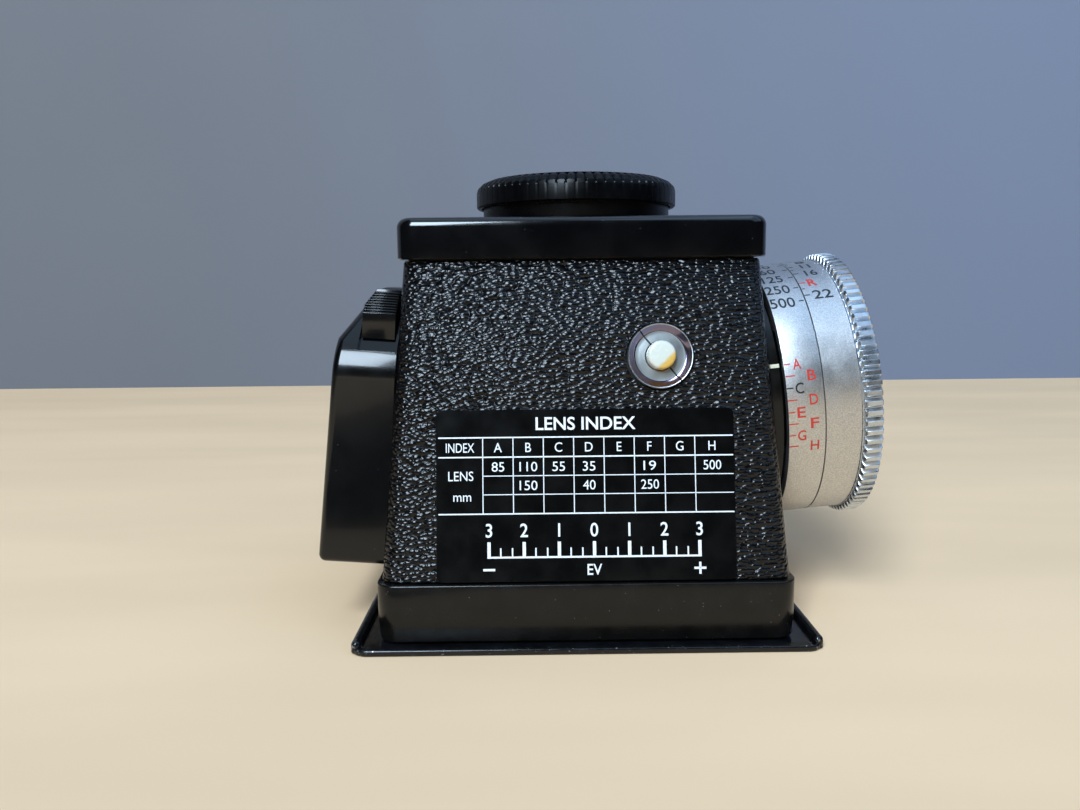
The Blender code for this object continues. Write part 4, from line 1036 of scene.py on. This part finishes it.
def side_w(u):
    """How far out the housing's side is at height u."""
    return HOUSING_OUT_LOW - (HOUSING_OUT_LOW - HOUSING_OUT_SHOULDER) * u / SHOULDER_U


HOUSING_SCREWS = [(LEFT @ moved(u, v, 0), side_w(u)) for u, v in HOUSING_SCREW_SPOTS]


def side_prism(name, inset, low_w):
    return prism(name, side_outline(inset, low_w), HOUSING_FRONT - 5, HOUSING_BACK + 5, "XZ", LEFT)


def make_housing():
    cover = side_prism("housing_cover_moulding", 0.0, -6.0)
    carve(cover, prism("plan", front_outline(0.0, FOLD_BEND), -10, 20, "YX", LEFT), "INTERSECT")
    round_edges(cover, HOUSING_EDGE, 6, 30, clamp=False)
    carve(cover, loft("seat", [body_loop(z, -0.2) for z in (0, 70)], ROOT, "moulded"))
    hollow = side_prism("hollow", HOUSING_WALL, -8.0)
    hollow_plan = prism("hollow_plan", front_outline(HOUSING_WALL + 0.7), -12, 20, "YX", LEFT)
    carve(hollow, hollow_plan, "INTERSECT")
    carve(cover, hollow)

    deep = (SLIDER_SUNK + GAP) * sqrt(2)
    start, far = SLIDER_V - (SLIDER_TRAVEL + 0.35) / sqrt(2), SLIDER_BACK + GAP
    track = [(start, slope_u(start) - deep), (start - 4, slope_u(start) + 4), (far, HOUSING_TALL + 8),
             (far, slope_u(far) - deep)]
    carve(cover, prism("track", track, SLIDER_W[0] - GAP, SLIDER_W[1] + GAP, "YX", LEFT))
    for spot, out in HOUSING_SCREWS:
        drill(cover, 0.95, 14, 0, spot, 32)
        drill(cover, 1.75, 14, out - 0.8, spot, 48)
    drill(cover, CAP_R - 0.9, 14, 5, BATTERY)
    drill(cover, CAP_R + GAP, 14, CAP_OUT - 0.6, BATTERY, 128)
    piece(cover, "finder_body", "black_gloss", "housing_cover")


def make_slider():
    low_w, high_w = SLIDER_W
    base_u, front_u = slope_u(SLIDER_V), slope_u(SLIDER_V) + SLIDER_HEIGHT
    sunk = SLIDER_SUNK * sqrt(2)
    top_u = HOUSING_TALL - 0.25
    top_v = SLIDER_V + (top_u - front_u)
    ribs, rib_deep = 9, 0.3
    ribbed = []
    for rib in range(ribs):
        for part, deep in ((0.12, 0.0), (0.42, 0.0), (0.6, 1.0), (0.94, 1.0)):
            t, sunk_in = (rib + part) / (ribs + 0.6), rib_deep * deep / sqrt(2)
            ribbed.append((SLIDER_V + (top_v - SLIDER_V) * t + sunk_in,
                           front_u + (top_u - front_u) * t - sunk_in))
    outline = [(SLIDER_V, base_u - sunk), (SLIDER_V, front_u)] + ribbed
    outline += [(top_v, top_u), (SLIDER_BACK, top_u), (SLIDER_BACK, slope_u(SLIDER_BACK) - sunk)]
    slider = prism("power_slider_ribbed", outline, low_w, high_w, "YX", LEFT)
    carve(slider, side_prism("trim", 0.35, -6.0), "INTERSECT")
    round_edges(slider, 0.1, 3, 30)
    piece(slider, "power_slider", "black_gloss", "power_slider")


def make_housing_screws():
    for index, (spot, out) in enumerate(HOUSING_SCREWS):
        outline = [(0, out - 0.05), (1.45, out - 0.12), (1.45, out - 0.65), (0.7, out - 0.65), (0.7, 0.6),
                   (0, 0.6)]
        slotted_screw(f"housing_screw_{index + 1}", outline, 0.08, spot, out - 0.45, out + 1,
                      0.4 + 1.3 * index)


def make_battery_cap():
    out, inner_r = CAP_OUT, CAP_R - 1.2
    profile = rounded([(0, out), (CAP_R - 1.1, out), (CAP_R - 0.9, out - 0.12), (CAP_R, out - 0.1),
                       (CAP_R, out - 0.35), (inner_r, out - 0.35), (inner_r, 8.6), (0, 8.6)],
                      0.05, 2, closed=False)
    cap = turned("battery_cap_turned", profile, BATTERY, "spun", 128)
    carve(cap, box("coin_slot", (-6, -0.75, out - 0.8), (6, 0.75, 12), BATTERY))
    piece(cap, "battery_cap", "satin_metal", "battery_cap")


# ---------------------------------------------------------------- finishes of the CAD nodes that stay
CAD_FINISH = {
    "lining_and_shade": ("light_baffle", "chimney_shell", "lens_spacer"),
    "satin": ("lens_cell", "photocell_bracket"),
    "steel": ("hub_screw_1", "hub_screw_2", "hub_screw_3", "index_click_spring", "dial_shaft",
              "meter_magnet"),
    "brass": ("neck_nut", "photocell_left", "photocell_right", "switch_contact", "wiper_arm",
              "battery_contact", "meter_bridge", "meter_coil", "hairspring"),
    "plastic": ("switch_body", "battery_tray", "trim_resistor"),
    "blasted": ("battery_cell",),
    "board": ("resistor_track", "circuit_board"),
    "glass": ("needle_window",),
    "white_ink": ("meter_needle",),
}


def dress_cad_nodes():
    for finish, names in CAD_FINISH.items():
        for name in names:
            mesh = CAD[name].data
            mesh.materials.clear()
            mesh.materials.append(FINISH[finish])


# ---------------------------------------------------------------- studio
def stage_plane(name, finish, **placing):
    bpy.ops.mesh.primitive_plane_add(**placing)
    plane = bpy.context.object
    plane.name = name
    plane.data.materials.append(finish.material)
    return plane


def make_stage():
    pale = Finish("pale_floor", (0.89, 0.62, 0.385), 0.8, specular=0.15)
    pale.vary(60.0, 0.05, 0.04, (0.25, 1, 1))
    floor = stage_plane("studio_floor", pale, size=4.0, location=(0, 0, 0))
    grey = Finish("pale_backdrop", (0.175, 0.18, 0.21), 0.8)
    grey.vary(90.0, 0.08, 0.03)
    # The backdrop is painted lighter and bluer towards the right: a painted glow of light on the wall.
    across = grey.between(grey.axis(0), -0.25, 0.3)
    grey.paint(grey.mix(across, (0.15, 0.155, 0.175), (0.18, 0.21, 0.29)))
    wall = stage_plane("studio_backdrop", grey, size=4.0, location=(0, 0.33, 0), rotation=(pi / 2, 0, 0))
    # A dark card seen only in reflections, painted shade standing in for the camera's shadow on the floor: it
    # keeps the floor's glow off the housing's front
    dark = Finish("painted_shadow_card", (0.004, 0.004, 0.004), 0.9)
    shadow_card = stage_plane("studio_shadow_card", dark, size=1.0, location=(-0.089, -0.177, 0.0006))
    shadow_card.scale = (0.102, 0.226, 1.0)
    shadow_card.visible_camera = shadow_card.visible_diffuse = shadow_card.visible_shadow = False

    world = bpy.data.worlds.new("studio_air")
    bpy.context.scene.world = world
    world.use_nodes = True
    air = world.node_tree.nodes["Background"]
    air.inputs["Color"].default_value = (0.62, 0.7, 0.85, 1.0)
    air.inputs["Strength"].default_value = 0.03


def add_light(name, azimuth, elevation, distance, size, power, colour):
    """A soft rectangular light aimed at the object; azimuth 0 is in front, positive to the right."""
    a, e = radians(azimuth), radians(elevation)
    away = Vector((sin(a) * cos(e), -cos(a) * cos(e), sin(e)))
    light = bpy.data.lights.new(name, "AREA")
    light.shape = "RECTANGLE"
    light.size, light.size_y = size
    light.energy, light.color = power, colour
    obj = bpy.data.objects.new(name, light)
    bpy.context.scene.collection.objects.link(obj)
    obj.location = Vector((EYEPIECE_X, 0, 35 * MM)) + away * distance
    obj.rotation_mode = "QUATERNION"
    obj.rotation_quaternion = away.to_track_quat("Z", "Y")
    obj.visible_camera = False


def make_lights():
    add_light("window", -21, 39, 2.2, (0.66, 1.4), 72.0, (0.68, 0.84, 1.0))
    add_light("ceiling_right", 64, 52, 0.9, (0.85, 0.85), 2.4, (0.42, 0.66, 1.0))
    add_light("overhead", 0, 88, 1.0, (0.8, 0.8), 1.9, (0.55, 0.75, 1.0))
    add_light("back_fill", 165, 50, 1.2, (0.9, 0.6), 2.0, (1.0, 0.97, 0.93))


def make_camera():
    """The eye of the view: placed in the viewfinder's frame, with a 36 mm wide sensor."""
    place = Vector((-7.372, -157.577, 55.045))
    yaw, pitch, roll = radians(0.255), radians(7.86), radians(-0.575)
    ahead = Vector((sin(yaw) * cos(pitch), cos(yaw) * cos(pitch), -sin(pitch)))
    right = Vector((cos(yaw), -sin(yaw), 0))
    up = right.cross(ahead)
    right, up = right * cos(roll) + up * sin(roll), up * cos(roll) - right * sin(roll)
    camera = bpy.data.cameras.new("camera")
    camera.sensor_width = 36.0
    camera.lens = 29.0
    camera.clip_start = 0.005
    obj = bpy.data.objects.new("camera", camera)
    bpy.context.scene.collection.objects.link(obj)
    turn = Matrix((right, up, -ahead)).transposed().to_4x4()
    obj.matrix_world = Matrix.Translation(place * MM + Vector((EYEPIECE_X, 0, 0))) @ turn
    bpy.context.scene.camera = obj


bpy.context.scene.view_settings.view_transform = "Standard"
make_black_finishes()
make_worn_plate()
make_leatherette()
make_metal_finishes()
make_other_finishes()
make_base_plate()
make_collar()
make_base_screws()
make_body()
make_cover()
make_eyepiece()
make_optics()
make_nut()
make_button()
make_index_plate()
make_hub()
make_speed_ring()
make_aperture_ring()
make_film_disc()
make_housing()
make_slider()
make_housing_screws()
make_battery_cap()
dress_cad_nodes()
make_stage()
make_lights()
make_camera()
